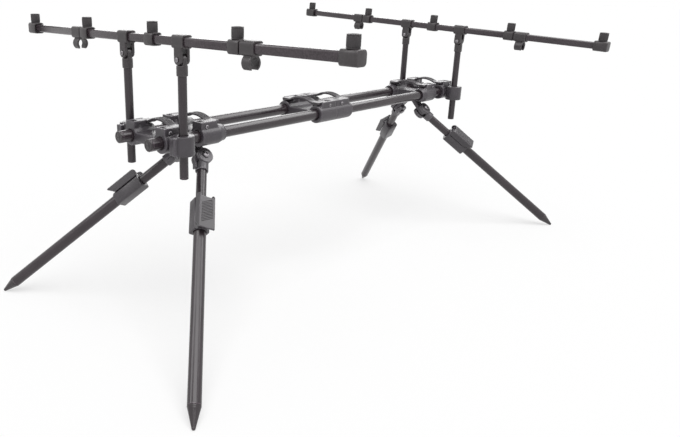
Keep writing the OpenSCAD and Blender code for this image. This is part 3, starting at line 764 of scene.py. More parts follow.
# Geometry Nodes
class Tree:
    """A Geometry Nodes tree with named inputs, ending in Realize Instances and Set Material."""

    def __init__(self, name, inputs):
        self.tree = bpy.data.node_groups.new(name, "GeometryNodeTree")
        face = self.tree.interface
        face.new_socket("Geometry", in_out="INPUT", socket_type="NodeSocketGeometry")
        self.ids = {}
        for label, kind in inputs.items():
            socket = face.new_socket(label, in_out="INPUT", socket_type=kind)
            self.ids[label] = socket.identifier
        face.new_socket("Geometry", in_out="OUTPUT", socket_type="NodeSocketGeometry")
        self.entry = self.tree.nodes.new("NodeGroupInput")

    def given(self, label):
        return self.entry.outputs[label]

    def node(self, kind, inputs, settings=None, output=0):
        node = self.tree.nodes.new(kind)
        for key, value in (settings or {}).items():
            setattr(node, key, value)
        for key, value in inputs.items():
            if isinstance(value, bpy.types.NodeSocket):
                self.tree.links.new(value, node.inputs[key])
            else:
                node.inputs[key].default_value = value
        return node.outputs[output] if node.outputs else None

    def close(self, geometry):
        whole = self.node("GeometryNodeRealizeInstances", {"Geometry": geometry})
        painted = self.node("GeometryNodeSetMaterial", {
            "Geometry": whole, "Material": self.given("Material")})
        self.node("NodeGroupOutput", {"Geometry": painted})
        return self

    def rib(self, path):
        """A round rib along a path."""
        section = self.node("GeometryNodeCurvePrimitiveCircle", {
            "Resolution": RIB_SIDES, "Radius": self.given("Radius")})
        return self.node("GeometryNodeCurveToMesh", {
            "Curve": path, "Profile Curve": section, "Fill Caps": True})

    def row(self, axis):
        """Points in a row along an axis, one for each rib."""
        step = self.node("ShaderNodeCombineXYZ", {axis: self.given("Pitch")})
        return self.node("GeometryNodeMeshLine", {"Count": self.given("Ribs"), "Offset": step})

    def grow(self, name, base, values, finish):
        """Run the tree on a base mesh and keep the result as a plain piece."""
        piece = new_piece(name, base, finish)
        modifier = piece.modifiers.new("Repeat", "NODES")
        modifier.node_group = self.tree
        for label, value in values.items():
            modifier[self.ids[label]] = value
        modifier[self.ids["Material"]] = finish_of(finish)
        piece.data = evaluated_mesh(piece)
        return piece


def copies_tree():
    """Copies of a template at points, each turned as its point says."""
    tree = Tree("Copies at points", {"Template": "NodeSocketObject", "Material": "NodeSocketMaterial"})
    shape = tree.node("GeometryNodeObjectInfo", {"Object": tree.given("Template"), "As Instance": True},
                      output="Geometry")
    turn = tree.node("GeometryNodeInputNamedAttribute", {"Name": "turn"}, {"data_type": "FLOAT_VECTOR"})
    facing = tree.node("FunctionNodeEulerToRotation", {"Euler": turn})
    return tree.close(tree.node("GeometryNodeInstanceOnPoints", {
        "Points": tree.given("Geometry"), "Instance": shape, "Rotation": facing}))


def grip_tree():
    """Round ribs along a path, side by side across a grip."""
    tree = Tree("Grip ribs", {"Ribs": "NodeSocketInt", "Pitch": "NodeSocketFloat",
                              "Radius": "NodeSocketFloat", "Material": "NodeSocketMaterial"})
    path = tree.node("GeometryNodeMeshToCurve", {"Mesh": tree.given("Geometry")})
    return tree.close(tree.node("GeometryNodeInstanceOnPoints", {
        "Points": tree.row("X"), "Instance": tree.rib(path)}))


def plate_tree():
    """Slanted round ribs in a row along Z."""
    tree = Tree("Plate ribs", {"Ribs": "NodeSocketInt", "Pitch": "NodeSocketFloat",
                               "Radius": "NodeSocketFloat", "Length": "NodeSocketFloat",
                               "Slant": "NodeSocketFloat", "Material": "NodeSocketMaterial"})
    half = tree.node("ShaderNodeMath", {0: tree.given("Length"), 1: 0.5}, {"operation": "MULTIPLY"})
    other = tree.node("ShaderNodeMath", {0: half, 1: -1.0}, {"operation": "MULTIPLY"})
    start = tree.node("ShaderNodeCombineXYZ", {"Y": other})
    stop = tree.node("ShaderNodeCombineXYZ", {"Y": half})
    path = tree.node("GeometryNodeCurvePrimitiveLine", {"Start": start, "End": stop})
    turn = tree.node("ShaderNodeCombineXYZ", {"X": tree.given("Slant")})
    facing = tree.node("FunctionNodeEulerToRotation", {"Euler": turn})
    return tree.close(tree.node("GeometryNodeInstanceOnPoints", {
        "Points": tree.row("Z"), "Instance": tree.rib(path), "Rotation": facing}))


def copies(name, template, places, finish, tree):
    """One plain mesh with a copy of a template mesh at each place."""
    pattern = bpy.data.objects.new(f"{name}_pattern", template)
    bpy.context.scene.collection.objects.link(pattern)
    base = bpy.data.meshes.new(name)
    base.from_pydata([place.translation for place in places], [], [])
    turn = base.attributes.new("turn", "FLOAT_VECTOR", "POINT")
    turn.data.foreach_set("vector", [part for place in places for part in place.to_euler()])
    piece = tree.grow(name, base, {"Template": pattern}, finish)
    bpy.data.objects.remove(pattern)
    smooth(piece.data)
    return piece


def turned_copies(node, profile, turns, places, finish, tree):
    """Copies of a turned piece in a CAD node's place."""
    skin = Skin()
    skin.lathe(profile, Matrix.Identity(4), turns)
    settle_whole(copies(f"{node}_finish", skin.mesh(node), places, finish, tree), node)


def main_tube(side):
    """A main tube's middle, half its length and its radius."""
    low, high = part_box(f"{side}_main_tube")
    return (low + high) / 2, (high.x - low.x) / 2, (high.y - low.y) / 2


def cam_lever_joints():
    """The joints of the arched levers."""
    return [joint for joint in JOINTS.values()
            if joint["child"].endswith("_lever") and "clamp" not in joint["child"]]


def pin_head(radius, rim, top, rim_wear):
    """Profile points of a pin's domed head, from its underside to the flat round its recess."""
    lip, chamfer, drop = 0.2 * MM, 0.3 * MM, 0.7 * MM
    shoulder, flat = 0.5 * MM, 1.1 * MM
    return [(radius - lip, rim, 0.3), (radius, rim + chamfer, rim_wear), (radius, top - drop, 0.6),
            (radius - shoulder, top - lip, 0.8), (radius - flat, top, 0.5)]


class RODPOD_OT_main_tubes(bpy.types.Operator):
    """Build the two main tubes with chamfered ends"""
    bl_idname = "rodpod.main_tubes"
    bl_label = "Main Tubes"

    def execute(self, context):
        size = context.scene.rodpod_sizes
        for side in SIDES:
            node = f"{side}_main_tube"
            middle, half, radius = main_tube(side)
            profile = tube_profile(radius, size.tube_wall, -half, half)
            turned_piece(node, profile, along_x(middle), TUBE_TURNS, "anodised_x", closed=True)
        return {"FINISHED"}


class RODPOD_OT_tube_plugs(bpy.types.Operator):
    """Build the dished plugs in the main tubes' ends"""
    bl_idname = "rodpod.tube_plugs"
    bl_label = "Tube Plugs"

    def execute(self, context):
        size = context.scene.rodpod_sizes
        node = "tube_end_plugs"
        places = []
        for side in SIDES:
            middle, half, radius = main_tube(side)
            places += [along_x(middle - half * AXIS_X, -1), along_x(middle + half * AXIS_X)]
        flange = middle.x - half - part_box(node)[0].x
        profile = self.profile(radius, flange, size)
        turned_copies(node, profile, PLUG_TURNS, places, "plug_plastic", copies_tree())
        return {"FINISHED"}

    @staticmethod
    def profile(radius, flange, size):
        """A spigot, a rounded rim and a dish with a low dome in it."""
        spigot = radius - size.tube_wall - size.fit
        dish, floor = radius - size.plug_rim, flange - size.plug_dish
        dome, step, lip, slope = 2.2 * MM, 0.4 * MM, 0.3 * MM, 0.5 * MM
        return [(spigot, -size.spigot, 0.0), (spigot, 0.0, 0.0), (radius - lip, 0.0, 0.2),
                (radius, step, 0.5), *rounded_rim(radius, flange, size.plug_round),
                (dish + slope, flange, 0.3), (dish, floor, 0.0), (dome, floor, 0.0),
                (dome - step, flange - size.plug_dish / 2, 0.2), (step, flange - size.plug_dish / 3, 0.2)]


class RODPOD_OT_brackets(bpy.types.Operator):
    """Build the crossheads and brackets as moulded skins, with beads round their mouths and barrel sleeves"""
    bl_idname = "rodpod.brackets"
    bl_label = "Brackets"

    def execute(self, context):
        size = context.scene.rodpod_sizes
        nodes = [f"{end}_{kind}" for kind in ("crosshead", "leg_bracket") for end in ENDS]
        for node in (*nodes, "middle_bracket"):
            mould(node, size.bracket_voxel, "grey_moulding")
            beads = Skin()
            for side in SIDES:
                self.beads(beads, node, side, size)
            settle_detail(beads.piece(f"{node}_beads", "grey_moulding"), node)
        for end in ENDS:
            node = f"{end}_crosshead"
            barrels = Skin()
            for side in SIDES:
                self.barrel(barrels, node, upright_frame(end, side), ENDS[end], size)
            settle_detail(barrels.piece(f"{node}_barrels", "grey_moulding"), node)
        return {"FINISHED"}

    @staticmethod
    def beads(skin, node, side, size):
        """Rings round both mouths of the sleeve on one main tube."""
        middle, _, tube = main_tube(side)
        place = along_x(Vector((0, middle.y, middle.z)))
        points = node_points(node, place)
        reach, run = np.hypot(points[:, 0], points[:, 1]), points[:, 2]
        sleeve = (reach > tube + SLEEVE_LEAST) & (reach < tube + SLEEVE_MOST)
        for mouth in (run[sleeve].min(), run[sleeve].max()):
            radius = np.median(reach[sleeve & (np.abs(run - mouth) < SLEEVE_SLICE)]) - size.bead / 2
            ring = [(radius + size.bead * math.cos(turn), mouth + size.bead * math.sin(turn), 0.6)
                    for turn in full_turn(BEAD_TURNS)]
            skin.lathe(ring, place, PLUG_TURNS, closed=True)

    @staticmethod
    def barrel(skin, node, place, outwards, size):
        """A round sleeve on a barrel, open where the barrel's clamping lug is."""
        points = node_points(node, place)
        wall = points[np.hypot(points[:, 0], points[:, 1]) < size.barrel_bore + BARREL_SKIN][:, 2]
        low, high = wall.min() + size.barrel_inset, wall.max() - size.barrel_inset
        rim, reach = size.barrel_rim, size.barrel_radius
        core = reach - rim
        arc = quarter_turn(BARREL_RIM_STEPS)
        section = [(size.barrel_bore, low), (size.barrel_bore, high)]
        section += [(core + rim * math.sin(turn), high - rim + rim * math.cos(turn)) for turn in arc]
        section += [(core + rim * math.cos(turn), low + rim - rim * math.sin(turn)) for turn in arc]
        gap = math.asin(size.barrel_mouth / reach)
        first = gap if outwards > 0 else math.pi + gap
        sweep = 2 * math.pi - 2 * gap
        turns = [first + sweep * step / BARREL_TURNS for step in range(BARREL_TURNS + 1)]
        loops = [[(r * math.cos(turn), r * math.sin(turn), z) for r, z in section] for turn in turns]
        skin.loops(loops, place)


class RODPOD_OT_cam_levers(bpy.types.Operator):
    """Build the arched cam levers with ribs along their grips"""
    bl_idname = "rodpod.cam_levers"
    bl_label = "Cam Levers"

    def execute(self, context):
        size = context.scene.rodpod_sizes
        tree = grip_tree()
        for joint in cam_lever_joints():
            node = joint["child"]
            mould(node, size.fitting_voxel, "lever_moulding")
            place = lever_frame(joint["name"])
            base = bpy.data.meshes.new(f"{node}_ribs")
            base.from_pydata(self.arch(node_points(node, place), size), GRIP_EDGES, [])
            ribs = tree.grow(f"{node}_ribs", base, {
                "Ribs": size.grip_ribs, "Pitch": size.grip_pitch, "Radius": size.grip_rib}, "lever_moulding")
            ribs.data.transform(place)
            smooth(ribs.data)
            settle_detail(ribs, node)
        return {"FINISHED"}

    @staticmethod
    def arch(points, size):
        """The path of a grip's first rib over the crown of its lever."""
        crown = points[np.abs(points[:, 1]) < CROWN_HALF]
        near, far, top = crown[:, 0].min(), crown[:, 0].max(), crown[:, 2].max()
        bow = (size.grip_half ** 2 + size.grip_rise ** 2) / (2 * size.grip_rise)
        start = (near + far) / 2 - size.grip_pitch * (size.grip_ribs - 1) / 2
        path = []
        for step in range(GRIP_STEPS + 1):
            y = size.grip_reach * (2 * step / GRIP_STEPS - 1)
            path.append((start, y, top - bow + math.sqrt(bow * bow - y * y)))
        return path


class RODPOD_OT_lever_pins(bpy.types.Operator):
    """Build the lever pins with domed, recessed heads"""
    bl_idname = "rodpod.lever_pins"
    bl_label = "Lever Pins"

    def execute(self, context):
        size = context.scene.rodpod_sizes
        tree = copies_tree()
        groups = {}
        for joint in cam_lever_joints():
            groups.setdefault(joint["parent"], []).append(Vector(joint["pos_m"]))
        for body, pins in groups.items():
            node = next(name for name in BODY_OF if BODY_OF[name] == body and name.endswith("_pins"))
            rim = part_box(node)[1].y - size.pin_rise
            places = [along_y(Vector((pin.x, side * rim, pin.z)), side)
                      for pin in pins for side in SIDES.values()]
            turned_copies(node, self.profile(size), PIN_TURNS, places, "steel", tree)
        return {"FINISHED"}

    @staticmethod
    def profile(size):
        """A shank and a head with a hexagon recess."""
        key, draft, key_depth = 1.5 * MM, 0.1 * MM, 1.1 * MM
        return [(size.pin_shank, -size.pin_length, 0.4), (size.pin_shank, 0.0, 0.0),
                *pin_head(size.pin_head, 0.0, size.pin_rise, 0.8), (hexagon(key), size.pin_rise, 0.8),
                (hexagon(key - draft), size.pin_rise - key_depth, 0.0)]


class RODPOD_OT_leg_hinges(bpy.types.Operator):
    """Build the leg heads as moulded skins, and their pivot bolts with domed heads and hexagon nuts"""
    bl_idname = "rodpod.leg_hinges"
    bl_label = "Leg Hinges"

    def execute(self, context):
        size = context.scene.rodpod_sizes
        tree = copies_tree()
        for leg in LEGS:
            node = f"{leg}_leg_head"
            mould(node, size.fitting_voxel, "hinge_metal")
        for end in ENDS:
            node = f"{end}_leg_bolts"
            places = [self.bolt_frame(f"{end}_{side}") for side in SIDES]
            points = node_points(node, places[0])
            bolt = points[np.hypot(points[:, 0], points[:, 1]) < BOLT_REACH][:, 2]
            turned_copies(node, self.profile(bolt.min(), bolt.max(), size), PLUG_TURNS, places, "steel", tree)
        return {"FINISHED"}

    @staticmethod
    def bolt_frame(leg):
        """A leg's hinge with Z along the bolt, pointing outwards."""
        place = leg_frame(leg)
        turned = Matrix((place.col[1].xyz, place.col[2].xyz, place.col[0].xyz)).transposed().to_4x4()
        turned.translation = place.translation
        return turned

    @staticmethod
    def profile(low, high, size):
        """A hexagon nut, a shank and a domed head with a hexagon recess."""
        shank, head, nut = size.bolt_shank, size.bolt_head, low + size.bolt_rise
        rim = high - size.bolt_rise
        flat = head * math.cos(math.pi / 6)
        side, key, draft, key_floor = 1.0 * MM, 2.3 * MM, 0.1 * MM, rim + 0.8 * MM
        bevel, bevel_rise = 0.6 * MM, 0.5 * MM
        dome = [(head * math.cos(turn), rim + side + (size.bolt_rise - side) * math.sin(turn), 0.4)
                for turn in DOME_TURNS]
        return [(shank, low, 0.3), (hexagon(flat - bevel), low, 0.6), (hexagon(flat), low + bevel_rise, 0.6),
                (hexagon(flat), nut, 0.3), (shank, nut, 0.0), (shank, rim, 0.0), (head, rim, 0.4), *dome,
                (hexagon(key), dome[-1][1], 0.8), (hexagon(key - draft), key_floor, 0.0)]


class RODPOD_OT_leg_tubes(bpy.types.Operator):
    """Build the upper and lower leg tubes with chamfered ends"""
    bl_idname = "rodpod.leg_tubes"
    bl_label = "Leg Tubes"

    def execute(self, context):
        size = context.scene.rodpod_sizes
        for leg in LEGS:
            place = leg_frame(leg)
            for part in ("upper_leg", "lower_leg"):
                node = f"{leg}_{part}"
                points = node_points(node, place)
                radius = np.hypot(points[:, 0], points[:, 1]).max()
                profile = tube_profile(radius, size.leg_wall, points[:, 2].min(), points[:, 2].max())
                turned_piece(node, profile, place, LEG_TURNS, f"anodised_{leg}", closed=True)
        return {"FINISHED"}


class RODPOD_OT_leg_clamps(bpy.types.Operator):
    """Build the leg clamps and their levers, with boxes round the clamps and slanted ribs on the levers"""
    bl_idname = "rodpod.leg_clamps"
    bl_label = "Leg Clamps"

    def execute(self, context):
        size = context.scene.rodpod_sizes
        tree = plate_tree()
        for leg in LEGS:
            place = clamp_frame(leg)
            clamp, lever = f"{leg}_leg_clamp", f"{leg}_clamp_lever"
            for node, finish in ((clamp, "grey_moulding"), (lever, "lever_moulding")):
                mould(node, size.fitting_voxel, finish)
            plate = node_points(lever, place)
            box = Skin()
            self.box(box, place, node_points(clamp, place), plate, size)
            settle_detail(box.piece(f"{clamp}_box", "lever_moulding"), clamp)
            middle = (plate[:, 2].min() + plate[:, 2].max()) / 2
            first = middle - size.plate_pitch * (size.plate_ribs - 1) / 2
            base = bpy.data.meshes.new(f"{lever}_ribs")
            base.from_pydata([(0, 0, 0)], [], [])
            ribs = tree.grow(f"{lever}_ribs", base, {
                "Ribs": size.plate_ribs, "Pitch": size.plate_pitch, "Radius": size.plate_rib,
                "Length": size.plate_rib_length, "Slant": size.plate_slant}, "lever_moulding")
            ribs.data.transform(place @ Matrix.Translation((plate[:, 0].max(), 0, first)))
            smooth(ribs.data)
            settle_detail(ribs, lever)
        return {"FINISHED"}

    @staticmethod
    def box(skin, place, clamp, lever, size):
        """The box round a clamp, whose sides run on those of its lever."""
        back, face = clamp[:, 0].min() - size.box_back, lever[:, 0].min() - size.box_gap
        wide, deep = face - back, 2 * np.abs(lever[:, 1]).max()
        low, high, rim = clamp[:, 2].min(), clamp[:, 2].max(), size.box_rim
        middle = (back + face) / 2
        bulge = 0.3 * rim
        stations = [(rim, low, 0.3), (bulge, low + bulge, 0.8), (0.0, low + rim, 0.4),
                    (0.0, high - rim, 0.4), (bulge, high - bulge, 0.8), (rim, high, 0.3)]
        loops = []
        for cut, height, _ in stations:
            outline = round_box(wide - 2 * cut, deep - 2 * cut, size.box_corner)
            loops.append([(x + middle, y, height) for x, y in outline])
        turns = [math.atan2(y, x) for x, y, _ in loops[0]]
        for height in (high, low):
            loops.append([(size.box_bore * math.cos(t), size.box_bore * math.sin(t), height) for t in turns])
        skin.loops(loops, place, closed=True, edges=[wear for _, _, wear in stations] + [0.0, 0.0])


class RODPOD_OT_spikes(bpy.types.Operator):
    """Build the blunt spikes with a rim and soft flats"""
    bl_idname = "rodpod.spikes"
    bl_label = "Spikes"

    def execute(self, context):
        size = context.scene.rodpod_sizes
        for leg in LEGS:
            node, place = f"{leg}_spike", leg_frame(leg)
            points = node_points(node, place)
            top = node_points(f"{leg}_lower_leg", place)[:, 2].max()
            radius = np.hypot(points[:, 0], points[:, 1]).max()
            profile = self.profile(radius, top, points[:, 2].max(), size)
            turned_piece(node, profile, place, TUBE_TURNS, "plug_plastic")
        return {"FINISHED"}

    def profile(self, radius, top, tip, size):
        """A spigot, a plain rim, a cone with flats and a round tip, from the leg's end at top."""
        blunt, spigot = size.spike_blunt, radius - size.spike_wall
        chamfer, ledge = 0.4 * MM, 0.3 * MM
        neck, start = radius - ledge, top + size.spike_rim
        profile = [(spigot, top - size.spigot, 0.0), (spigot, top, 0.0), (radius - chamfer, top, 0.0),
                   (radius, top + chamfer, 0.1), (radius, start - 2 * chamfer, 0.1),
                   (neck, start - chamfer, 0.0)]
        run = tip - blunt - start
        for step in range(SPIKE_STEPS + 1):
            share = step / SPIKE_STEPS
            reach = neck + (blunt - neck) * share
            depth = FLAT_DEPTH * reach * min(1.0, FLAT_ONSET * share)
            profile.append((self.flats(reach, depth, size.spike_flats), start + run * share, 0.15 * share))
        for turn in TIP_TURNS:
            profile.append((blunt * math.cos(turn), tip - blunt + blunt * math.sin(turn), 0.5))
        return profile

    @staticmethod
    def flats(reach, depth, number):
        return lambda turn: reach - depth * (1 - abs(math.cos(number * turn / 2)))


class RODPOD_OT_bars(bpy.types.Operator):
    """Build the round-cornered square bars"""
    bl_idname = "rodpod.bars"
    bl_label = "Bars"

    def execute(self, context):
        size = context.scene.rodpod_sizes
        side, corner, cut = size.bar_side, size.bar_corner, size.tube_chamfer
        bore, bore_corner = side - 2 * size.tube_wall, corner - size.tube_wall / 2
        for end in ENDS:
            node, place = f"{end}_bar", bar_frame(end)
            run = node_points(node, place)[:, 2]
            low, high = run.min(), run.max()
            skin = Skin()
            skin.squares([(side - cut, corner, low, 0.6), (side, corner, low + cut, 0.2),
                          (side, corner, high - cut, 0.2), (side - cut, corner, high, 0.6),
                          (bore, bore_corner, high, 0.0), (bore, bore_corner, low, 0.0)], place, closed=True)
            settle_whole(skin.piece(f"{node}_finish", f"anodised_{end}_bar"), node)
        return {"FINISHED"}


class RODPOD_OT_collars(bpy.types.Operator):
    """Build the socket collars with recessed mouths, the end ones closed"""
    bl_idname = "rodpod.collars"
    bl_label = "Collars"

    def execute(self, context):
        size = context.scene.rodpod_sizes
        for end in ENDS:
            node = f"{end}_socket_collars"
            middle, left, _ = bar_axes(end)
            skin = Skin()
            for number in SOCKETS:
                distance = (Vector(MOUNTS[f"{end}_socket_{number}"]["pos_m"]) - middle).dot(left)
                place = bar_frame(end, distance)
                if number == SOCKETS[0]:
                    skin.squares(self.end_collar(size), place)
                elif number == SOCKETS[-1]:
                    skin.squares(self.end_collar(size), place @ Matrix.Rotation(math.pi, 4, "X"))
                else:
                    skin.squares(self.open_collar(size), place, closed=True)
            settle_whole(skin.piece(f"{node}_finish", "collar_moulding"), node)
        return {"FINISHED"}

    def open_collar(self, size):
        """A collar with a mouth at each end."""
        half = size.collar_short / 2
        return [*self.rim(-half, size), *reversed(self.rim(half, size)),
                *self.mouth(half, size), *reversed(self.mouth(-half, size))]

    def end_collar(self, size):
        """A collar with a mouth towards its bar and a closed end."""
        side, half, cut = size.collar_side, size.collar_length / 2, size.collar_chamfer
        corner, seat = size.bar_corner + size.collar_corner, size.bar_side + size.collar_fit
        return [(seat, size.bar_corner, half - size.collar_end, 0.0), *reversed(self.mouth(-half, size)),
                *self.rim(-half, size), (side, corner, half - 2 * cut, 0.4),
                (side - 0.6 * cut, corner, half - 1.2 * cut, 0.7),
                (side - 2 * cut, corner, half - 0.3 * cut, 0.6), (side - 4 * cut, corner, half, 0.3)]

    @staticmethod
    def rim(end, size):
        """The chamfer round an end, from its face to the side."""
        side, corner = size.collar_side, size.bar_corner + size.collar_corner
        cut = size.collar_chamfer
        inwards = -math.copysign(cut, end)
        return [(side - 1.6 * cut, corner, end, 0.4), (side - 0.4 * cut, corner, end + 0.4 * inwards, 0.8),
                (side, corner, end + inwards, 0.5)]

    @staticmethod
    def mouth(end, size):
        """The recess in an end, from its face to the bar."""
        corner, seat = size.bar_corner + size.collar_corner, size.bar_side + size.collar_fit
        wide, draft = seat + 2 * size.collar_mouth, 0.6 * MM
        mouth_corner, floor_corner = corner - 0.8 * MM, corner - 1.0 * MM
        floor = end - math.copysign(size.mouth_depth, end)
        return [(wide, mouth_corner, end, 0.3), (wide - draft, floor_corner, floor, 0.0),
                (seat, size.bar_corner, floor, 0.0)]


class RODPOD_OT_sockets(bpy.types.Operator):
    """Build the fluted sockets with their threaded bores"""
    bl_idname = "rodpod.sockets"
    bl_label = "Sockets"

    def execute(self, context):
        size = context.scene.rodpod_sizes
        tree = copies_tree()
        for end in ENDS:
            node = f"{end}_sockets"
            places = [socket_frame(end, number) for number in SOCKETS]
            turns = FLUTE_TURNS * size.flutes
            turned_copies(node, self.profile(size), turns, places, "socket_metal", tree)
        return {"FINISHED"}

    def profile(self, size):
        """Plain rings at foot and top, flutes between grooves, and a threaded bore."""
        radius, top, bore, lead = size.socket_radius, size.socket_rise, size.thread_radius, size.thread_lead
        groove, slope, run_out = radius - 0.5 * MM, 0.3 * MM, 0.8 * MM
        low_ring, high_ring = 1.6 * MM, top - 1.8 * MM
        chamfer, bevel = 0.4 * MM, 0.6 * MM
        fluted = self.fluted(size)
        profile = [(radius - chamfer, 0.0, 0.2), (radius, chamfer, 0.4), (radius, low_ring, 0.4),
                   (groove, low_ring + slope, 0.1), (fluted, low_ring + run_out, 0.3),
                   (fluted, high_ring - run_out, 0.3), (groove, high_ring - slope, 0.1),
                   (radius, high_ring, 0.5), (radius, top - bevel, 0.6), (radius - bevel, top, 0.8),
                   (bore + lead, top, 0.6), (bore, top - lead, 0.2)]
        steps = THREAD_STEPS * int(size.thread_depth / size.thread_pitch)
        for step in range(1, steps + 1):
            height = top - lead - (size.thread_depth - lead) * step / steps
            profile.append((self.threaded(height, size), height, 0.0))
        return profile

    @staticmethod
    def fluted(size):
        return lambda turn: size.socket_radius - size.flute_depth * (0.5 + 0.5 * math.cos(size.flutes * turn))

    @staticmethod
    def threaded(height, size):
        """The bore's radius at a height, as the thread winds round it."""
        def reach(turn):
            phase = (height / size.thread_pitch - turn / (2 * math.pi)) % 1.0
            return size.thread_radius - size.thread_cut * abs(2 * phase - 1)
        return reach


class RODPOD_OT_swivels(bpy.types.Operator):
    """Build the swivel collars and the upright clips as moulded skins"""
    bl_idname = "rodpod.swivels"
    bl_label = "Swivels and Clips"

    def execute(self, context):
        size = context.scene.rodpod_sizes
        for end in ENDS:
            for node in (f"{end}_swivels", f"{end}_clips"):
                mould(node, size.fitting_voxel, "collar_moulding")
        return {"FINISHED"}


class RODPOD_OT_uprights(bpy.types.Operator):
    """Build the uprights: a tube with a rounded foot, a moulded head and a swivel pin"""
    bl_idname = "rodpod.uprights"
    bl_label = "Uprights"

    def execute(self, context):
        size = context.scene.rodpod_sizes
        for end in ENDS:
            for side in SIDES:
                self.upright(f"{end}_{side}_upright", upright_frame(end, side), size)
        return {"FINISHED"}

    def upright(self, node, place, size):
        points = node_points(node, place)
        foot = points[:, 2].min()
        tube = points[np.abs(points[:, 2] - foot) < FOOT_SLICE]
        radius = np.hypot(tube[:, 0], tube[:, 1]).max()
        seat = foot + size.cap_rise

        def is_head(solid):
            low = min(point.z for point in solid) - place.translation.z
            return foot / 2 < low < -HEAD_DEPTH

        head = moulded_copy(f"{node}_head", node, size.fitting_voxel, "collar_moulding", is_head)
        settle(head, BODY_OF[node], "grey_moulding", node)
        skin = Skin()
        profile = tube_profile(radius, size.tube_wall, seat, -size.upright_seat)
        skin.lathe(profile, place, LEG_TURNS, closed=True)
        settle_detail(skin.piece(f"{node}_tube", "anodised_z"), node)
        cap = Skin()
        cap.lathe(self.cap(radius, foot, seat, size), place, PLUG_TURNS)
        settle(cap.piece(f"{node}_cap", "plug_plastic"), BODY_OF[node], "plug_plastic")
        pin = Skin()
        for way in (1, -1):
            pin.lathe(self.pin(points[:, 0].max(), size), place @ along_x(Vector((0, 0, 0)), way), PIN_TURNS)
        settle(pin.piece(f"{node}_pin", "steel"), BODY_OF[node], "steel")

    @staticmethod
    def cap(radius, foot, seat, size):
        """A round-edged foot with a spigot in its tube."""
        bore = radius - size.tube_wall - size.fit
        rim = [(reach, foot + seat - height, wear)
               for reach, height, wear in rounded_rim(radius, seat, size.cap_round)]
        hub = 0.8 * MM
        return [(hub, foot, 0.2), *reversed(rim), (radius, seat, 0.2), (bore, seat, 0.0),
                (bore, seat + size.cap_spigot, 0.0)]

    @staticmethod
    def pin(top, size):
        """Half a swivel pin, with a round recess in its head."""
        rim = top - size.pin_rise
        recess, draft, depth = 1.0 * MM, 0.2 * MM, 0.8 * MM
        return [(size.pin_shank, 0.0, 0.0), (size.pin_shank, rim, 0.0),
                *pin_head(size.swivel_head, rim, top, 0.6), (recess, top, 0.6),
                (recess - draft, top - depth, 0.0)]


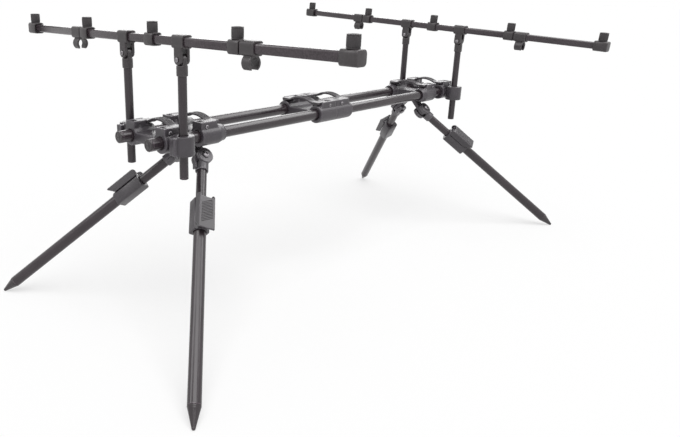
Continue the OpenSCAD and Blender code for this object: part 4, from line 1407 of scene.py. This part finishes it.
class RODPOD_OT_stage(bpy.types.Operator):
    """Build the pale floor, the studio light and the camera"""
    bl_idname = "rodpod.stage"
    bl_label = "Stage"

    def execute(self, context):
        self.floor()
        self.world()
        self.lamps()
        self.camera()
        context.scene.view_settings.view_transform = "Standard"
        return {"FINISHED"}

    @staticmethod
    def floor():
        """A floor that is nearly white where it is seen, and still takes the object's shadow."""
        corners = [(FLOOR_REACH * x, FLOOR_REACH * y, 0) for x, y in ((-1, -1), (1, -1), (1, 1), (-1, 1))]
        mesh = bpy.data.meshes.new("floor")
        mesh.from_pydata(corners, [], [(0, 1, 2, 3)])
        surface = Surface(bpy.data.materials.new("pale_floor"))
        lit = surface.node("ShaderNodeBsdfDiffuse", {}, {"Color": (*colours().floor, 1)})
        plain = surface.node("ShaderNodeEmission", {}, {"Color": WHITE, "Strength": 1.0})
        shader = surface.node("ShaderNodeMixShader", {}, {0: FLOOR_WHITE * surface.seen(), 1: lit, 2: plain})
        surface.node("ShaderNodeOutputMaterial", {}, {"Surface": shader})
        mesh.materials.append(surface.owner)
        floor = bpy.data.objects.new("floor", mesh)
        bpy.context.scene.collection.objects.link(floor)

    @staticmethod
    def world():
        """White where it is seen, and a soft light on the object."""
        surface = Surface(bpy.data.worlds.new("studio"))
        soft = surface.node("ShaderNodeBackground", {}, {"Color": WHITE, "Strength": AMBIENT})
        white = surface.node("ShaderNodeBackground", {}, {"Color": WHITE, "Strength": 1.0})
        shader = surface.node("ShaderNodeMixShader", {}, {0: surface.seen(), 1: soft, 2: white})
        surface.node("ShaderNodeOutputWorld", {}, {"Surface": shader})
        bpy.context.scene.world = surface.owner

    @staticmethod
    def lamps():
        """A wide sun, and strips that only show as gloss."""
        sun = bpy.data.lights.new("overhead_sun", "SUN")
        sun.energy = SUN_POWER
        sun.angle = SUN_ANGLE
        holder = bpy.data.objects.new("overhead_sun", sun)
        holder.rotation_euler = SUN_TURN
        bpy.context.scene.collection.objects.link(holder)
        for name, (place, wide, high, power) in STRIPS.items():
            lamp = bpy.data.lights.new(name, "AREA")
            lamp.shape = "RECTANGLE"
            lamp.size = wide
            lamp.size_y = high
            lamp.energy = power
            holder = bpy.data.objects.new(name, lamp)
            facing = (STRIP_TARGET - Vector(place)).to_track_quat("-Z", "Y")
            holder.matrix_world = Matrix.Translation(place) @ facing.to_matrix().to_4x4()
            holder.visible_diffuse = False
            holder.visible_camera = False
            bpy.context.scene.collection.objects.link(holder)

    @staticmethod
    def camera():
        """The photograph's view."""
        lens = bpy.data.cameras.new("camera")
        lens.sensor_fit = "HORIZONTAL"
        lens.sensor_width = SENSOR
        lens.lens = SENSOR * FOCAL / PHOTO_WIDE
        lens.shift_x = (PHOTO_WIDE / 2 - CENTRE_X) / PHOTO_WIDE
        lens.shift_y = (CENTRE_Y - PHOTO_HIGH / 2) / PHOTO_WIDE
        lens.clip_start = CLIP_START
        holder = bpy.data.objects.new("camera", lens)
        forward, right = CAMERA_FORWARD.normalized(), CAMERA_RIGHT.normalized()
        turned = Matrix((right, right.cross(forward), -forward)).transposed().to_4x4()
        turned.translation = CAMERA_PLACE
        holder.matrix_world = turned
        bpy.context.scene.collection.objects.link(holder)
        bpy.context.scene.camera = holder


class RODPOD_PT_sidebar(bpy.types.Panel):
    """Lists the steps that build the rod pod"""
    bl_label = "Rod Pod"
    bl_idname = "RODPOD_PT_sidebar"
    bl_space_type = "VIEW_3D"
    bl_region_type = "UI"
    bl_category = "Rod Pod"

    def draw(self, context):
        for step in STEPS:
            self.layout.operator(step.bl_idname)
        for group in (context.scene.rodpod_sizes, context.scene.rodpod_colours):
            box = self.layout.box()
            for name in group.__annotations__:
                box.prop(group, name)


STEPS = (
    RODPOD_OT_stage, RODPOD_OT_main_tubes, RODPOD_OT_tube_plugs, RODPOD_OT_brackets, RODPOD_OT_cam_levers,
    RODPOD_OT_lever_pins, RODPOD_OT_leg_hinges, RODPOD_OT_leg_tubes, RODPOD_OT_leg_clamps,
    RODPOD_OT_spikes, RODPOD_OT_bars, RODPOD_OT_collars, RODPOD_OT_sockets, RODPOD_OT_swivels,
    RODPOD_OT_uprights,
)
CLASSES = (RodPodSizes, RodPodColours, *STEPS, RODPOD_PT_sidebar)


def register():
    for item in CLASSES:
        bpy.utils.register_class(item)
    bpy.types.Scene.rodpod_sizes = bpy.props.PointerProperty(type=RodPodSizes)
    bpy.types.Scene.rodpod_colours = bpy.props.PointerProperty(type=RodPodColours)


def unregister():
    del bpy.types.Scene.rodpod_colours
    del bpy.types.Scene.rodpod_sizes
    for item in reversed(CLASSES):
        bpy.utils.unregister_class(item)


def main():
    register()
    for step in STEPS:
        group, name = step.bl_idname.split(".")
        getattr(getattr(bpy.ops, group), name)()


if __name__ == "__main__":
    main()
